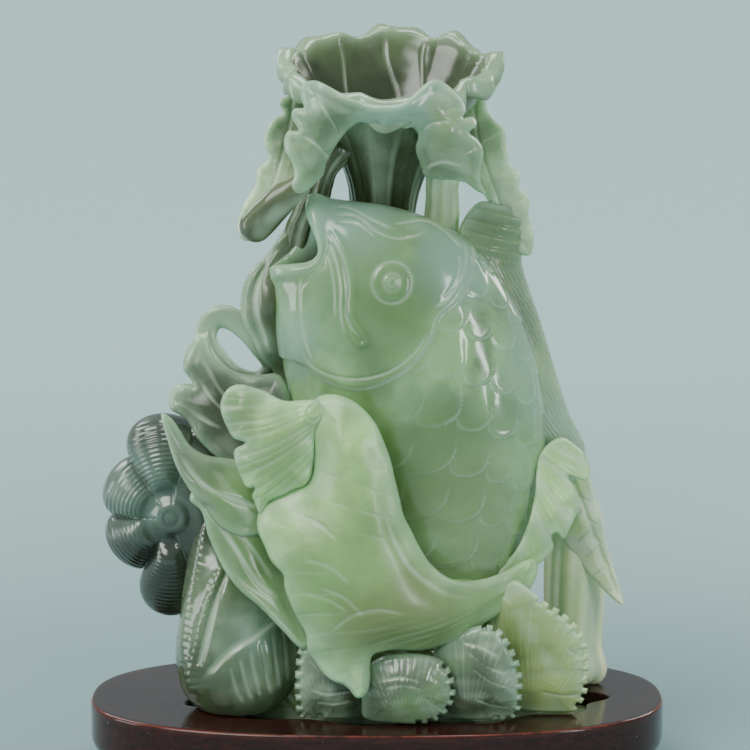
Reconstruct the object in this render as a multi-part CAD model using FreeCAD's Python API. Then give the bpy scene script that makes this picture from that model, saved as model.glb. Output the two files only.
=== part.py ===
"""Carved jade carp and lotus on a fitted lacquered wood stand.

The stone is one block in life. Its carved features are separate solids here, one STEP file each, so that
every feature has a name and the pierced gaps between them stay open. The stand is real joinery: a slab
with a fitted pocket, six feet, their dowels and felt pads. Lengths are in millimetres. X runs left to
right across the front, Y runs from the front to the back, Z is up, and the origin is on the table under
the middle of the stand. The stone's own heights are counted from the slab's top face, and main lifts
them by SEAT.
"""

import FreeCAD
import Part
import math
import os

V = FreeCAD.Vector

# Stand
STAND_WIDTH = 265.0
STAND_DEPTH = 138.0
STAND_CORNER = 2.5          # exponent of the rounded outline: 2 is an ellipse, more is squarer
SLAB_THICKNESS = 24.0
SLAB_UNDERCUT = 8.0         # radius of the curve at the slab's lower edge
UNDERCUT_STEPS = 4
FOOT_HEIGHT = 10.0
FOOT_RADIUS = 15.0
FOOT_SPREAD_X = 88.0
FOOT_SPREAD_Y = 40.0
PAD_THICKNESS = 1.5
PAD_RADIUS = 10.0
DOWEL_RADIUS = 3.0
DOWEL_LENGTH = 14.0
GLUE_GAP = 0.05
SEAT = PAD_THICKNESS + FOOT_HEIGHT + SLAB_THICKNESS     # height of the slab's top face

# Pocket in the slab, and the foot of the stone that drops into it
POCKET_DEPTH = 12.0
POCKET_CENTRE = (8.0, -6.0)
POCKET_HALF = (96.0, 43.0)
POCKET_LOBES = 11
POCKET_SCALLOP = 3.5        # how far the lobes swell in and out
POCKET_GAP = 4.0            # the carver's loose fit, stone to pocket wall
ABOVE_SLAB = 0.3            # features that overhang the slab clear it by this much

# Stone
GAZE = V(-0.83, -0.17, 0.53).normalize()    # the way the carp's mouth points
MOUTH = V(-40.0, -9.0, 214.0)
LIP_RADIUS = 13.5
LIP_THICKNESS = 7.0
THROAT_DEPTH = 26.0
CUP_X = 5.0
CUP_WALL = 5.0
CUP_LOBES = 9
CUP_RUFFLE = 2.5            # how far the leaf cup's edge waves in and out
SHELL_CENTRE = V(-93.0, 0.0, 84.0)
SHELL_CORE_RADIUS = 20.0
SHELL_LOBE_RADIUS = 17.5
SHELL_REACH = 13.0          # how far out the side lobes sit
SHELL_STRETCH = 17.0        # how much further out the top and bottom lobes sit
LOOP_CENTRE = V(-65.0, 6.0, 160.0)
LOOP_RADIUS = 14.5
LOOP_THICKNESS = 10.0
TOOTH_DEPTH = 2.4
PLAIN_STEPS = 10            # straight runs round the plain part of a fan's edge
REACH = 400.0               # larger than the whole model, for boxes that cut


def closed_wire(points):
    """A smooth closed outline through points."""
    curve = Part.BSplineCurve()
    curve.interpolate(points, PeriodicFlag=True)
    return Part.Wire([curve.toShape()])


def ring(centre, across, through, half_across, half_through, count=12):
    """An oval outline about centre, in the plane of across and through."""
    points = []
    for k in range(count):
        turn = 2.0 * math.pi * k / count
        points.append(centre + across * (half_across * math.cos(turn))
                      + through * (half_through * math.sin(turn)))
    return closed_wire(points)


def lofted(stations, through=V(0, 1, 0)):
    """A smooth solid through oval sections. A station is (x, y, z, half width, half thickness)."""
    centres = [V(*s[:3]) for s in stations]
    wires = []
    for k, (centre, station) in enumerate(zip(centres, stations)):
        before = centres[max(k - 1, 0)]
        after = centres[min(k + 1, len(centres) - 1)]
        along = (after - before).normalize()
        across = along.cross(through).normalize()
        wires.append(ring(centre, across, across.cross(along), station[3], station[4]))
    return Part.makeLoft(wires, True, False)


def plate(outline, front, thickness):
    """A flat carved leaf or fin: an outline of (x, z) points, from y = front back through its thickness."""
    wire = closed_wire([V(x, front, z) for x, z in outline])
    return Part.Face(wire).extrude(V(0, thickness, 0))


def toothed_fan(hub, radius, start, end, teeth, front, thickness):
    """An upright rounded fan with square teeth from start to end (degrees) and a plain edge elsewhere."""
    points = []
    steps = 4 * teeth
    for k in range(steps + 1):
        turn = math.radians(start + (end - start) * k / steps)
        cut = TOOTH_DEPTH if k % 4 in (2, 3) else 0.0
        points.append(V(hub[0] + (radius[0] - cut) * math.cos(turn), front,
                        hub[1] + (radius[1] - cut) * math.sin(turn)))
    rest = 360.0 if end > start else -360.0
    for k in range(1, PLAIN_STEPS):
        turn = math.radians(end + (start + rest - end) * k / PLAIN_STEPS)
        points.append(V(hub[0] + radius[0] * math.cos(turn), front, hub[1] + radius[1] * math.sin(turn)))
    face = Part.Face(Part.makePolygon(points + [points[0]]))
    return trimmed(face.extrude(V(0, thickness, 0)))


def trimmed(shape):
    """shape with whatever hangs below the slab's top face taken off."""
    below = Part.makeBox(REACH, REACH, REACH, V(-REACH / 2.0, -REACH / 2.0, ABOVE_SLAB - REACH))
    return shape.cut(below)


def stand_outline(inset, height):
    """The stand's rounded oval, drawn in by inset, at a height."""
    half_x = STAND_WIDTH / 2.0 - inset
    half_y = STAND_DEPTH / 2.0 - inset
    points = []
    for k in range(32):
        turn = 2.0 * math.pi * k / 32
        c, s = math.cos(turn), math.sin(turn)
        points.append(V(half_x * math.copysign(abs(c) ** (2.0 / STAND_CORNER), c),
                        half_y * math.copysign(abs(s) ** (2.0 / STAND_CORNER), s), height))
    return closed_wire(points)


def pocket_outline(gap, height):
    """The scalloped outline of the pocket, drawn in by gap."""
    points = []
    count = 6 * POCKET_LOBES
    for k in range(count):
        turn = 2.0 * math.pi * k / count
        swell = POCKET_SCALLOP * math.cos(POCKET_LOBES * turn) - gap
        points.append(V(POCKET_CENTRE[0] + (POCKET_HALF[0] + swell) * math.cos(turn),
                        POCKET_CENTRE[1] + (POCKET_HALF[1] + swell) * math.sin(turn), height))
    return closed_wire(points)


def foot_places():
    """Name and (x, y) of each foot: three along the front and three along the back."""
    for side, y in (("front", -FOOT_SPREAD_Y), ("back", FOOT_SPREAD_Y)):
        for end, x in (("left", -FOOT_SPREAD_X), ("middle", 0.0), ("right", FOOT_SPREAD_X)):
            yield f"{side}_{end}", x, y


def stand_slab():
    bottom = SEAT - SLAB_THICKNESS
    edge = Part.Face(stand_outline(0, bottom + SLAB_UNDERCUT))
    straight = edge.extrude(V(0, 0, SLAB_THICKNESS - SLAB_UNDERCUT))
    wires = []
    for k in range(UNDERCUT_STEPS + 1):
        turn = math.pi / 2.0 * k / UNDERCUT_STEPS
        inset = SLAB_UNDERCUT * (1.0 - math.cos(turn))
        wires.append(stand_outline(inset, bottom + SLAB_UNDERCUT * (1.0 - math.sin(turn))))
    slab = straight.fuse(Part.makeLoft(wires, True, False))
    pocket = Part.Face(pocket_outline(0, SEAT - POCKET_DEPTH))
    slab = slab.cut(pocket.extrude(V(0, 0, 2.0 * POCKET_DEPTH)))
    for _, x, y in foot_places():
        slab = slab.cut(dowel_hole(x, y))
    return slab


def dowel_hole(x, y):
    """The hole for a foot's dowel, half in the foot and half in the slab."""
    joint = PAD_THICKNESS + FOOT_HEIGHT
    return Part.makeCylinder(DOWEL_RADIUS + GLUE_GAP, DOWEL_LENGTH, V(x, y, joint - DOWEL_LENGTH / 2.0))


def foot(x, y):
    """A turned cushion foot: narrow neck, round belly, flat underside, with a hole for its dowel."""
    low, high = PAD_THICKNESS, PAD_THICKNESS + FOOT_HEIGHT
    neck = 0.7 * FOOT_RADIUS
    sole = 0.8 * FOOT_RADIUS
    profile = [
        Part.LineSegment(V(0, 0, low), V(sole, 0, low)),
        Part.Arc(V(sole, 0, low), V(FOOT_RADIUS, 0, low + 0.45 * FOOT_HEIGHT), V(neck, 0, high)),
        Part.LineSegment(V(neck, 0, high), V(0, 0, high)),
        Part.LineSegment(V(0, 0, high), V(0, 0, low)),
    ]
    solid = Part.Face(Part.Wire([edge.toShape() for edge in profile])).revolve(V(0, 0, 0), V(0, 0, 1), 360)
    solid.translate(V(x, y, 0))
    return solid.cut(dowel_hole(x, y))


def foot_dowels():
    low = PAD_THICKNESS + FOOT_HEIGHT - DOWEL_LENGTH / 2.0 + GLUE_GAP
    length = DOWEL_LENGTH - 2.0 * GLUE_GAP
    return Part.makeCompound([
        Part.makeCylinder(DOWEL_RADIUS, length, V(x, y, low)) for _, x, y in foot_places()
    ])


def felt_pad(x, y):
    return Part.makeCylinder(PAD_RADIUS, PAD_THICKNESS, V(x, y, 0))


def seated_foot():
    """The flat-bottomed foot of the stone, in the pocket."""
    return Part.Face(pocket_outline(POCKET_GAP, -POCKET_DEPTH)).extrude(V(0, 0, POCKET_DEPTH + ABOVE_SLAB))


def rock_mound():
    """The mound that the shells and fans grow from."""
    return lofted([
        (6, -6, ABOVE_SLAB, 84, 33), (6, -4, 8, 80, 32), (8, 0, 22, 60, 25), (10, 4, 38, 34, 15)])


def carp_body():
    """The carp rising head up, its back to the right, with its mouth hollowed out."""
    body = lofted([
        (-40, -9, 216, 13, 9), (-34, -8, 211, 23, 16), (-24, -5, 203, 34, 23), (-8, -2, 187, 46, 31),
        (10, 0, 161, 56, 35), (18, 0, 128, 59, 35), (25, -3, 97, 52, 31), (36, -10, 70, 35, 24),
        (48, -17, 51, 20, 16), (53, -20, 44, 11, 11)])
    throat = Part.makeCone(2.0, LIP_RADIUS - 2.0, THROAT_DEPTH, MOUTH - GAZE * (THROAT_DEPTH - 2.0), GAZE)
    return body.cut(throat)


def carp_lips():
    """The rolled rim of the open mouth."""
    return Part.makeTorus(LIP_RADIUS, LIP_THICKNESS / 2.0, MOUTH + GAZE, GAZE)


def carp_tail_root():
    """The narrow of the tail, turning from the end of the body round to the front."""
    return lofted([(56, -16, 52, 9, 9), (48, -26, 50, 16, 12), (36, -36, 54, 22, 11), (20, -42, 62, 26, 9)])


def carp_tail_fin():
    """The tail fin across the front, with one lobe up and one lobe down."""
    outline = [
        (-26, 149), (-11, 149), (3, 134), (13, 114), (22, 92), (33, 71), (46, 60), (62, 59), (68, 52),
        (60, 44), (44, 43), (26, 37), (6, 33), (-2, 28), (-2, 18), (-7, 14), (-12, 20), (-14, 30),
        (-26, 30), (-34, 44), (-39, 62), (-50, 84), (-53, 98), (-44, 107), (-30, 116), (-27, 132)]
    return plate(outline, -58, 19)


def carp_pectoral_fin():
    outline = [
        (-66, 151), (-56, 152), (-40, 145), (-26, 146), (-24, 136), (-28, 118), (-38, 106), (-53, 96),
        (-58, 108), (-63, 116), (-61, 127), (-68, 136)]
    return plate(outline, -50, 9)


def carp_dorsal_fin():
    outline = [
        (47, 228), (56, 227), (66, 224), (70, 208), (72, 196), (77, 178), (84, 160), (91, 138),
        (97, 114), (92, 104), (82, 106), (74, 120), (74, 145), (68, 168), (57, 190), (42, 208), (36, 216)]
    return plate(outline, 3, 8)


def carp_anal_fin():
    outline = [
        (84, 122), (94, 115), (97, 105), (88, 103), (91, 91), (86, 79), (79, 78), (76, 67), (66, 61),
        (52, 54), (42, 52), (48, 62), (62, 76), (70, 96), (72, 118)]
    return plate(outline, -10, 9)


def cup_form(rings):
    """A solid funnel with a waved edge. A ring is (y, z, half x, half y, lean in degrees, wave)."""
    wires = []
    for y, z, half_x, half_y, lean, wave in rings:
        slope = math.radians(lean)
        points = []
        count = 6 * CUP_LOBES
        for k in range(count):
            turn = 2.0 * math.pi * k / count
            swell = wave * math.cos(CUP_LOBES * turn)
            reach = (half_y + swell) * math.sin(turn)
            points.append(V(CUP_X + (half_x + swell) * math.cos(turn),
                            y + reach * math.cos(slope), z + reach * math.sin(slope)))
        wires.append(closed_wire(points))
    return Part.makeLoft(wires, True, False)


def leaf_cup():
    """A lotus leaf opened upward into a bowl, low at the front lip and high at the back."""
    outer = cup_form([
        (6, 234, 16, 12, 0, 0), (3, 250, 25, 18, 8, 0), (2, 266, 34, 25, 16, 0.3 * CUP_RUFFLE),
        (2, 280, 41, 30, 22, 0.7 * CUP_RUFFLE), (3, 292, 45, 36, 24, CUP_RUFFLE)])
    inner = cup_form([
        (3, 256, 12, 9, 8, 0), (2, 266, 34 - 1.6 * CUP_WALL, 25 - 1.6 * CUP_WALL, 16, 0),
        (2, 280, 41 - CUP_WALL, 30 - CUP_WALL, 22, 0.7 * CUP_RUFFLE),
        (3, 292, 45 - CUP_WALL, 36 - CUP_WALL, 24, CUP_RUFFLE),
        (4, 300, 47 - CUP_WALL, 39 - CUP_WALL, 24, CUP_RUFFLE)])
    return outer.cut(inner)


def lotus_column():
    """The bundle of stems that carries the leaf cup, behind the carp."""
    return lofted([
        (6, 22, 5, 24, 14), (4, 24, 60, 21, 12), (2, 24, 130, 18, 11), (1, 20, 190, 16, 11),
        (2, 12, 222, 15, 11), (3, 6, 240, 18, 13)])


def mouth_stem():
    """The stem between the left window and the carp's upper lip."""
    return lofted([
        (-20, 0, 254, 9, 6), (-26, 2, 242, 7, 6), (-31, 5, 228, 7, 6), (-34, 8, 212, 8, 6),
        (-30, 12, 190, 8, 6)])


def pale_stem():
    """The stem that parts the two right windows."""
    return lofted([(32, 2, 250, 8, 5), (30, 6, 238, 7, 4.5), (30, 9, 224, 7, 4.5), (28, 12, 205, 7, 4.5)])


LEAF_FLAPS = {
    "leaf_flap_front_left": [
        (-22, -20, 280, 10, 4), (-34, -24, 268, 11, 4), (-36, -25, 254, 9, 4), (-36, -24, 240, 8, 4)],
    "leaf_flap_back_left": [
        (-34, 12, 296, 11, 5), (-43, 14, 276, 11, 5), (-50, 13, 252, 10, 5), (-58, 10, 226, 7, 4)],
    "leaf_flap_front_right": [
        (27, -17, 284, 10, 4), (37, -22, 272, 11, 4), (42, -24, 256, 9, 4), (45, -20, 238, 7, 4)],
    "leaf_flap_back_right": [
        (42, 12, 298, 11, 5), (52, 14, 274, 11, 5), (58, 13, 250, 10, 5), (66, 10, 224, 8, 4)],
    "rolled_leaf_edge": [
        (-35, -16, 240, 6, 6), (-44, -18, 230, 8, 8), (-54, -18, 220, 8, 7), (-60, -17, 214, 4, 4)],
}


def mouth_leaf():
    """The narrow leaf that hangs beside the carp's jaw."""
    return lofted([
        (-40, 8, 222, 6, 4), (-48, 7, 206, 9, 5), (-53, 6, 190, 10, 5), (-51, 6, 172, 10, 5),
        (-48, 6, 152, 9, 5)])


def leaf_loop():
    """The pierced loop of a curling leaf."""
    return Part.makeTorus(LOOP_RADIUS, LOOP_THICKNESS / 2.0, LOOP_CENTRE, V(0, 1, 0))


def lobed_leaf():
    outline = [
        (-80, 168), (-88, 158), (-84, 147), (-94, 145), (-95, 138), (-88, 133), (-80, 122), (-62, 108),
        (-44, 104), (-38, 130), (-44, 146), (-62, 143), (-72, 148)]
    return plate(outline, -8, 16)


def curled_leaf():
    """The pointed leaf that wraps the shells."""
    return lofted([
        (-94, -34, 135, 2, 2), (-87, -37, 122, 8, 4), (-74, -41, 100, 15, 5), (-60, -42, 76, 15, 5),
        (-45, -42, 52, 11, 5), (-32, -40, 34, 5, 4)])


def conch_shell():
    """The big ribbed shell at the lower left."""
    return trimmed(lofted([
        (-79, -5, 95, 3, 3), (-77, -9, 80, 8, 9), (-73, -12, 62, 17, 17), (-68, -15, 42, 24, 23),
        (-63, -17, 22, 28, 26), (-60, -16, 8, 26, 25), (-59, -15, -4, 18, 19)]))


def lobed_shell():
    """Five swollen lobes round a small boss, like a turban shell seen from its tip."""
    shape = Part.makeSphere(SHELL_CORE_RADIUS, SHELL_CENTRE)
    for turn in (62, 112, 158, 202, 252):
        angle = math.radians(turn)
        reach = SHELL_REACH + SHELL_STRETCH * abs(math.sin(angle))
        place = SHELL_CENTRE + V(reach * math.cos(angle), 0, reach * math.sin(angle))
        shape = shape.fuse(Part.makeSphere(SHELL_LOBE_RADIUS, place))
    return shape


def back_leaf():
    """The veined leaf whose tip hangs clear at the lower right."""
    return lofted([
        (84, 12, 122, 8, 4), (92, 12, 100, 12, 5), (101, 9, 76, 13, 5), (109, 6, 56, 9, 4),
        (114, 5, 42, 3, 3)])


def reed_bundle():
    return trimmed(lofted([
        (90, 18, 84, 11, 6), (92, 18, 60, 13, 7), (92, 17, 36, 13, 7), (90, 16, 10, 11, 7),
        (89, 15, -4, 10, 7)]))


FANS = {
    "toothed_fan_left": dict(
        hub=(-16, 12), radius=(23, 24), start=100, end=245, teeth=7, front=-51, thickness=12),
    "toothed_fan_front": dict(
        hub=(9, 8), radius=(27, 26), start=75, end=-30, teeth=7, front=-58, thickness=12),
    "toothed_fan_middle": dict(
        hub=(39, 12), radius=(27, 34), start=62, end=-28, teeth=8, front=-54, thickness=15),
    "toothed_fan_right": dict(
        hub=(66, 22), radius=(30, 41), start=80, end=-34, teeth=11, front=-42, thickness=16),
}


def stone_features():
    """Name and solid of each carved feature, with heights counted from the slab's top face."""
    makers = (
        seated_foot, rock_mound, carp_body, carp_lips, carp_tail_root, carp_tail_fin,
        carp_pectoral_fin, carp_dorsal_fin, carp_anal_fin, leaf_cup, lotus_column, mouth_stem,
        pale_stem, mouth_leaf, leaf_loop, lobed_leaf, curled_leaf, conch_shell, lobed_shell,
        back_leaf, reed_bundle)
    for maker in makers:
        yield maker.__name__, maker()
    for name, stations in LEAF_FLAPS.items():
        yield name, lofted(stations)
    for name, form in FANS.items():
        yield name, toothed_fan(**form)


def main():
    os.makedirs("parts", exist_ok=True)
    nodes = {"stand_slab": stand_slab(), "foot_dowels": foot_dowels()}
    for place, x, y in foot_places():
        nodes[f"foot_{place}"] = foot(x, y)
        nodes[f"felt_pad_{place}"] = felt_pad(x, y)
    for name, shape in stone_features():
        shape.translate(V(0, 0, SEAT))
        nodes[name] = shape
    for name, shape in nodes.items():
        solids = shape.Solids
        print(f"{name}: {len(solids)} solid, {shape.Volume / 1000:.1f} cm3, valid {shape.isValid()}")
        shape.exportStep(f"parts/{name}.step")


main()
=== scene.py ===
import math

import bpy
import numpy as np
from bpy.props import FloatProperty, FloatVectorProperty, IntProperty, PointerProperty
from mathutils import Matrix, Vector
from mathutils.geometry import delaunay_2d_cdt


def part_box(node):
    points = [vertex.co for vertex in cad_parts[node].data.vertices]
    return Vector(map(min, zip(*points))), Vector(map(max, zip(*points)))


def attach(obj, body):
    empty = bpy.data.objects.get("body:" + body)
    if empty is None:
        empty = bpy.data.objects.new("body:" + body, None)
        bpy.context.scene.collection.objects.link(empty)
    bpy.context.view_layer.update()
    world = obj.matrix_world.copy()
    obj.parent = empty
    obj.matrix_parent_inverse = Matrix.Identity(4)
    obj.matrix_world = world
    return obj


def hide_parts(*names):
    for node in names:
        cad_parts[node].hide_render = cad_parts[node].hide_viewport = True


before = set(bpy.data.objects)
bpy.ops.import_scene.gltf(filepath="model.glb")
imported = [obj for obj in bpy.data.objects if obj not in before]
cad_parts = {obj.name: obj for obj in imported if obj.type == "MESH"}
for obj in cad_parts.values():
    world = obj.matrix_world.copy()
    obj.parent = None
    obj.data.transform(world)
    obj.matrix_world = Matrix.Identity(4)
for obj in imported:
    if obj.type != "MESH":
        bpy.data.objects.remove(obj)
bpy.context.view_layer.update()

bl_info = {
    "name": "Carved Jade Carp",
    "version": (1, 0, 0),
    "blender": (4, 5, 0),
    "location": "View3D > Sidebar > Jade Carp",
    "description": "Builds a pierced jade carving of a carp among lotus leaves, on its lacquered wood stand",
    "category": "Object",
}

# Shapes are drawn in millimetres. The stone's heights are counted from the top face of the stand's slab.
MM = 0.001
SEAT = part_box("stand_slab")[1][2] / MM
SLAB_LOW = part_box("stand_slab")[0][2] / MM
STAND_HALF = [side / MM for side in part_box("stand_slab")[1][:2]]
TURN = 2.0 * math.pi
SHEET_SPAN = 50.0       # length that counts as one when a sheet is bent through its handles
LOWEST = 0.45           # gap that keeps carved features off the slab's top face


# ---------------------------------------------------------------------------------------------------------
# Curves and fields
# ---------------------------------------------------------------------------------------------------------

def unit(vectors):
    """Vectors of length one."""
    return vectors / np.maximum(np.linalg.norm(vectors, axis=-1, keepdims=True), 1e-9)


def smoothstep(low, high, value):
    """0 below low, 1 above high, and a smooth rise between them."""
    t = np.clip((value - low) / (high - low), 0.0, 1.0)
    return t * t * (3.0 - 2.0 * t)


def bell(value, middle, width, power=2):
    """1 at the middle, and falling away on both sides over about the width."""
    return np.exp(-((value - middle) / width) ** power)


def spline(points, step=1.0, closed=False, count=None):
    """Evenly spaced points on a smooth curve through a few chosen ones, every step or count in all."""
    given = np.asarray(points, float)
    if closed:
        ring = np.vstack([given[-1:], given, given[:2]])
    else:
        ring = np.vstack([2 * given[:1] - given[1:2], given, 2 * given[-1:] - given[-2:-1]])
    pieces = []
    for k in range(len(ring) - 3):
        p = ring[k:k + 4]
        gaps = np.maximum(np.sqrt(np.linalg.norm(np.diff(p[:, :3], axis=0), axis=1)), 1e-4)
        t0, t1, t2, t3 = np.concatenate([[0.0], np.cumsum(gaps)])
        t = np.linspace(t1, t2, 24, endpoint=False)[:, None]
        a1 = (t1 - t) / (t1 - t0) * p[0] + (t - t0) / (t1 - t0) * p[1]
        a2 = (t2 - t) / (t2 - t1) * p[1] + (t - t1) / (t2 - t1) * p[2]
        a3 = (t3 - t) / (t3 - t2) * p[2] + (t - t2) / (t3 - t2) * p[3]
        b1 = (t2 - t) / (t2 - t0) * a1 + (t - t0) / (t2 - t0) * a2
        b2 = (t3 - t) / (t3 - t1) * a2 + (t - t1) / (t3 - t1) * a3
        pieces.append((t2 - t) / (t2 - t1) * b1 + (t - t1) / (t2 - t1) * b2)
    pieces.append(given[:1] if closed else given[-1:])
    dense = np.vstack(pieces)
    run = np.concatenate([[0.0], np.cumsum(np.linalg.norm(np.diff(dense[:, :3], axis=0), axis=1))])
    if count is None:
        count = max(int(round(run[-1] / step)), 4) + (0 if closed else 1)
    places = np.linspace(0.0, run[-1], count, endpoint=not closed)
    return np.stack([np.interp(places, run, dense[:, k]) for k in range(dense.shape[1])], axis=1)


def line_distance(x, z, line):
    """Distance from each point to a run of straight pieces, and how far along them the nearest place is."""
    best = np.full(x.shape, 1e9)
    along = np.zeros(x.shape)
    run = 0.0
    for (ax, az), (bx, bz) in zip(line[:-1], line[1:]):
        dx, dz = bx - ax, bz - az
        length = math.hypot(dx, dz)
        if length < 1e-9:
            continue
        t = np.clip(((x - ax) * dx + (z - az) * dz) / length ** 2, 0.0, 1.0)
        gap = (x - ax - t * dx) ** 2 + (z - az - t * dz) ** 2
        near = gap < best
        best = np.where(near, gap, best)
        along = np.where(near, run + t * length, along)
        run += length
    return np.sqrt(best), along


def inside(x, z, outline):
    """True for points inside a closed outline."""
    odd = np.zeros(x.shape, bool)
    for (ax, az), (bx, bz) in zip(outline, np.roll(outline, -1, axis=0)):
        if az == bz:
            continue
        crosses = (az > z) != (bz > z)
        odd ^= crosses & (x < (bx - ax) * (z - az) / (bz - az) + ax)
    return odd


def groove(x, z, points, width=0.8, depth=0.6):
    """An engraved line through a few points, as a change of height."""
    line = spline(points, 1.5)
    gap, along = line_distance(x, z, line)
    length = np.linalg.norm(np.diff(line, axis=0), axis=1).sum()
    fade = smoothstep(0.0, 0.12 * length, along) * smoothstep(0.0, 0.12 * length, length - along)
    return -depth * (0.25 + 0.75 * fade) * bell(gap, 0, width)


def engraved(total, x, z, lines, width, depth):
    """A height with several engraved lines cut into it."""
    for line in lines:
        total = total + groove(x, z, line, width, depth)
    return total


def surface_through(handles):
    """A smooth sheet y(x, z) through a few (x, z, y) handles: a thin plate bent over them."""
    given = np.asarray(handles, float)
    place, value = given[:, :2] / SHEET_SPAN, given[:, 2]

    def bend(r):
        return r ** 2 * np.log(np.maximum(r, 1e-9))

    count = len(given)
    gaps = np.linalg.norm(place[:, None] - place[None], axis=2)
    flat = np.hstack([np.ones((count, 1)), place])
    system = np.block([[bend(gaps) + 1e-3 * np.eye(count), flat], [flat.T, np.zeros((3, 3))]])
    weights = np.linalg.solve(system, np.concatenate([value, np.zeros(3)]))

    def sheet(x, z):
        total = weights[count] + weights[count + 1] * x / SHEET_SPAN + weights[count + 2] * z / SHEET_SPAN
        for (px, pz), weight in zip(place, weights):
            total = total + weight * bend(np.hypot(x / SHEET_SPAN - px, z / SHEET_SPAN - pz))
        return total

    return sheet


def wander(x, y, z, scale, seed=0):
    """Gentle repeatable unevenness between about -1 and 1, for hand-worked surfaces."""
    rng = np.random.default_rng(seed)
    total = np.zeros(np.shape(x))
    for octave in range(3):
        for _ in range(3):
            way = unit(rng.normal(size=3)) * TURN / (scale / 1.8 ** octave)
            start = rng.uniform(0, TURN)
            total = total + np.sin(x * way[0] + y * way[1] + z * way[2] + start) / 1.9 ** octave
    return total / 4.5


# ---------------------------------------------------------------------------------------------------------
# Closed skins
# ---------------------------------------------------------------------------------------------------------

def grid_normals(grid):
    """Outward normals of a grid of rings."""
    across = np.gradient(grid, axis=0)
    around = np.roll(grid, -1, axis=1) - np.roll(grid, 1, axis=1)
    normals = unit(np.cross(across, around))
    outward = grid - grid.mean(axis=1, keepdims=True)
    weight = np.linalg.norm(outward, axis=-1)
    return normals if (np.sum(normals * outward, axis=-1) * weight).sum() > 0 else -normals


def strips(a, b):
    """Triangles between rings of point numbers and the rings that follow them."""
    a2, b2 = np.roll(a, -1, axis=1), np.roll(b, -1, axis=1)
    return np.vstack([np.stack([a, b, b2], -1).reshape(-1, 3), np.stack([a, b2, a2], -1).reshape(-1, 3)])


def skin(grid, masks):
    """Points, triangles and masks of a closed surface: rings joined in order, with a point at each end."""
    rings, sides = grid.shape[:2]
    index = np.arange(rings * sides).reshape(rings, sides)
    start, finish = index[0], index[-1]
    triangles = np.vstack([
        strips(index[:-1], index[1:]),
        np.stack([np.full(sides, rings * sides), start, np.roll(start, -1)], -1),
        np.stack([np.full(sides, rings * sides + 1), np.roll(finish, -1), finish], -1)])
    points = np.vstack([grid.reshape(-1, 3), grid[0].mean(axis=0), grid[-1].mean(axis=0)])
    spread = {}
    for name, mask in masks.items():
        mask = np.broadcast_to(mask, grid.shape[:2])
        spread[name] = np.concatenate([mask.ravel(), [mask[0].mean(), mask[-1].mean()]])
    return points, triangles, spread


def tube(stations, rings, sides, ends, relief=None):
    """A closed surface through oval sections, rounded off over a share of its length at each end.

    A station is (x, y, z, half across, half through).
    """
    path = spline(stations, count=rings)
    u = np.linspace(0.0, 1.0, rings)
    close = np.ones(rings)
    for end, way in zip(ends, (u, 1.0 - u)):
        if end > 0.0:
            close *= np.sqrt(1.0 - (1.0 - np.clip(way / end + 0.01, 0.0, 1.0)) ** 2)
    centre = path[:, :3]
    along = unit(np.gradient(centre, axis=0))
    across = unit(np.cross(along, (0.0, 1.0, 0.0)))
    through = np.cross(across, along)
    turn = np.linspace(0.0, TURN, sides, endpoint=False)
    half_a = (path[:, 3] * close)[:, None, None]
    half_b = (path[:, 4] * close)[:, None, None]
    grid = (centre[:, None] + across[:, None] * half_a * np.cos(turn)[None, :, None]
            + through[:, None] * half_b * np.sin(turn)[None, :, None])
    cut = 0.0
    if relief is not None:
        height = relief(u[:, None], turn[None, :], grid)
        grid = grid + grid_normals(grid) * (height * close[:, None])[..., None]
        cut = np.clip(-height / 0.8, 0.0, 1.0)
    return skin(grid, {"thin": 0.0, "cut": cut, "deep": 0.0})


def edges_of(triangles):
    """The three edges of each triangle, with the lower point number first."""
    return np.sort(np.vstack([triangles[:, [0, 1]], triangles[:, [1, 2]], triangles[:, [2, 0]]]), axis=1)


def refined(points, triangles):
    """The same triangles, each split into four."""
    unique, index = np.unique(edges_of(triangles), axis=0, return_inverse=True)
    index = index.reshape(3, -1).T + len(points)
    points = np.vstack([points, points[unique].mean(axis=1)])
    a, b, c = triangles.T
    ab, bc, ca = index.T
    return points, np.vstack([np.stack([a, ab, ca], 1), np.stack([ab, b, bc], 1), np.stack([ca, bc, c], 1),
                              np.stack([ab, bc, ca], 1)])


def filled(rim, pitch):
    """Evenly sized triangles that fill an outline, and which of their points lie on it."""
    low, high = rim.min(axis=0), rim.max(axis=0)
    cells = []
    for k, z in enumerate(np.arange(low[1], high[1], pitch * 0.87)):
        across = np.arange(low[0] + (k % 2) * pitch / 2, high[0], pitch)
        cells.append(np.stack([across, np.full(len(across), z)], 1))
    field = np.vstack(cells)
    gap, _ = line_distance(field[:, 0], field[:, 1], np.vstack([rim, rim[:1]]))
    field = field[inside(field[:, 0], field[:, 1], rim) & (gap > 0.55 * pitch)]
    ring = [(k, (k + 1) % len(rim)) for k in range(len(rim))]
    flat = [Vector(p) for p in np.vstack([rim, field])]
    verts, _, faces, _, _, _ = delaunay_2d_cdt(flat, ring, [], 1, 1e-5)
    points, triangles = refined(np.array([tuple(v) for v in verts]), np.array(faces, int))
    unique, seen = np.unique(edges_of(triangles), axis=0, return_counts=True)
    border = np.zeros(len(points), bool)
    border[unique[seen == 1].ravel()] = True
    return points, triangles, border


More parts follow.
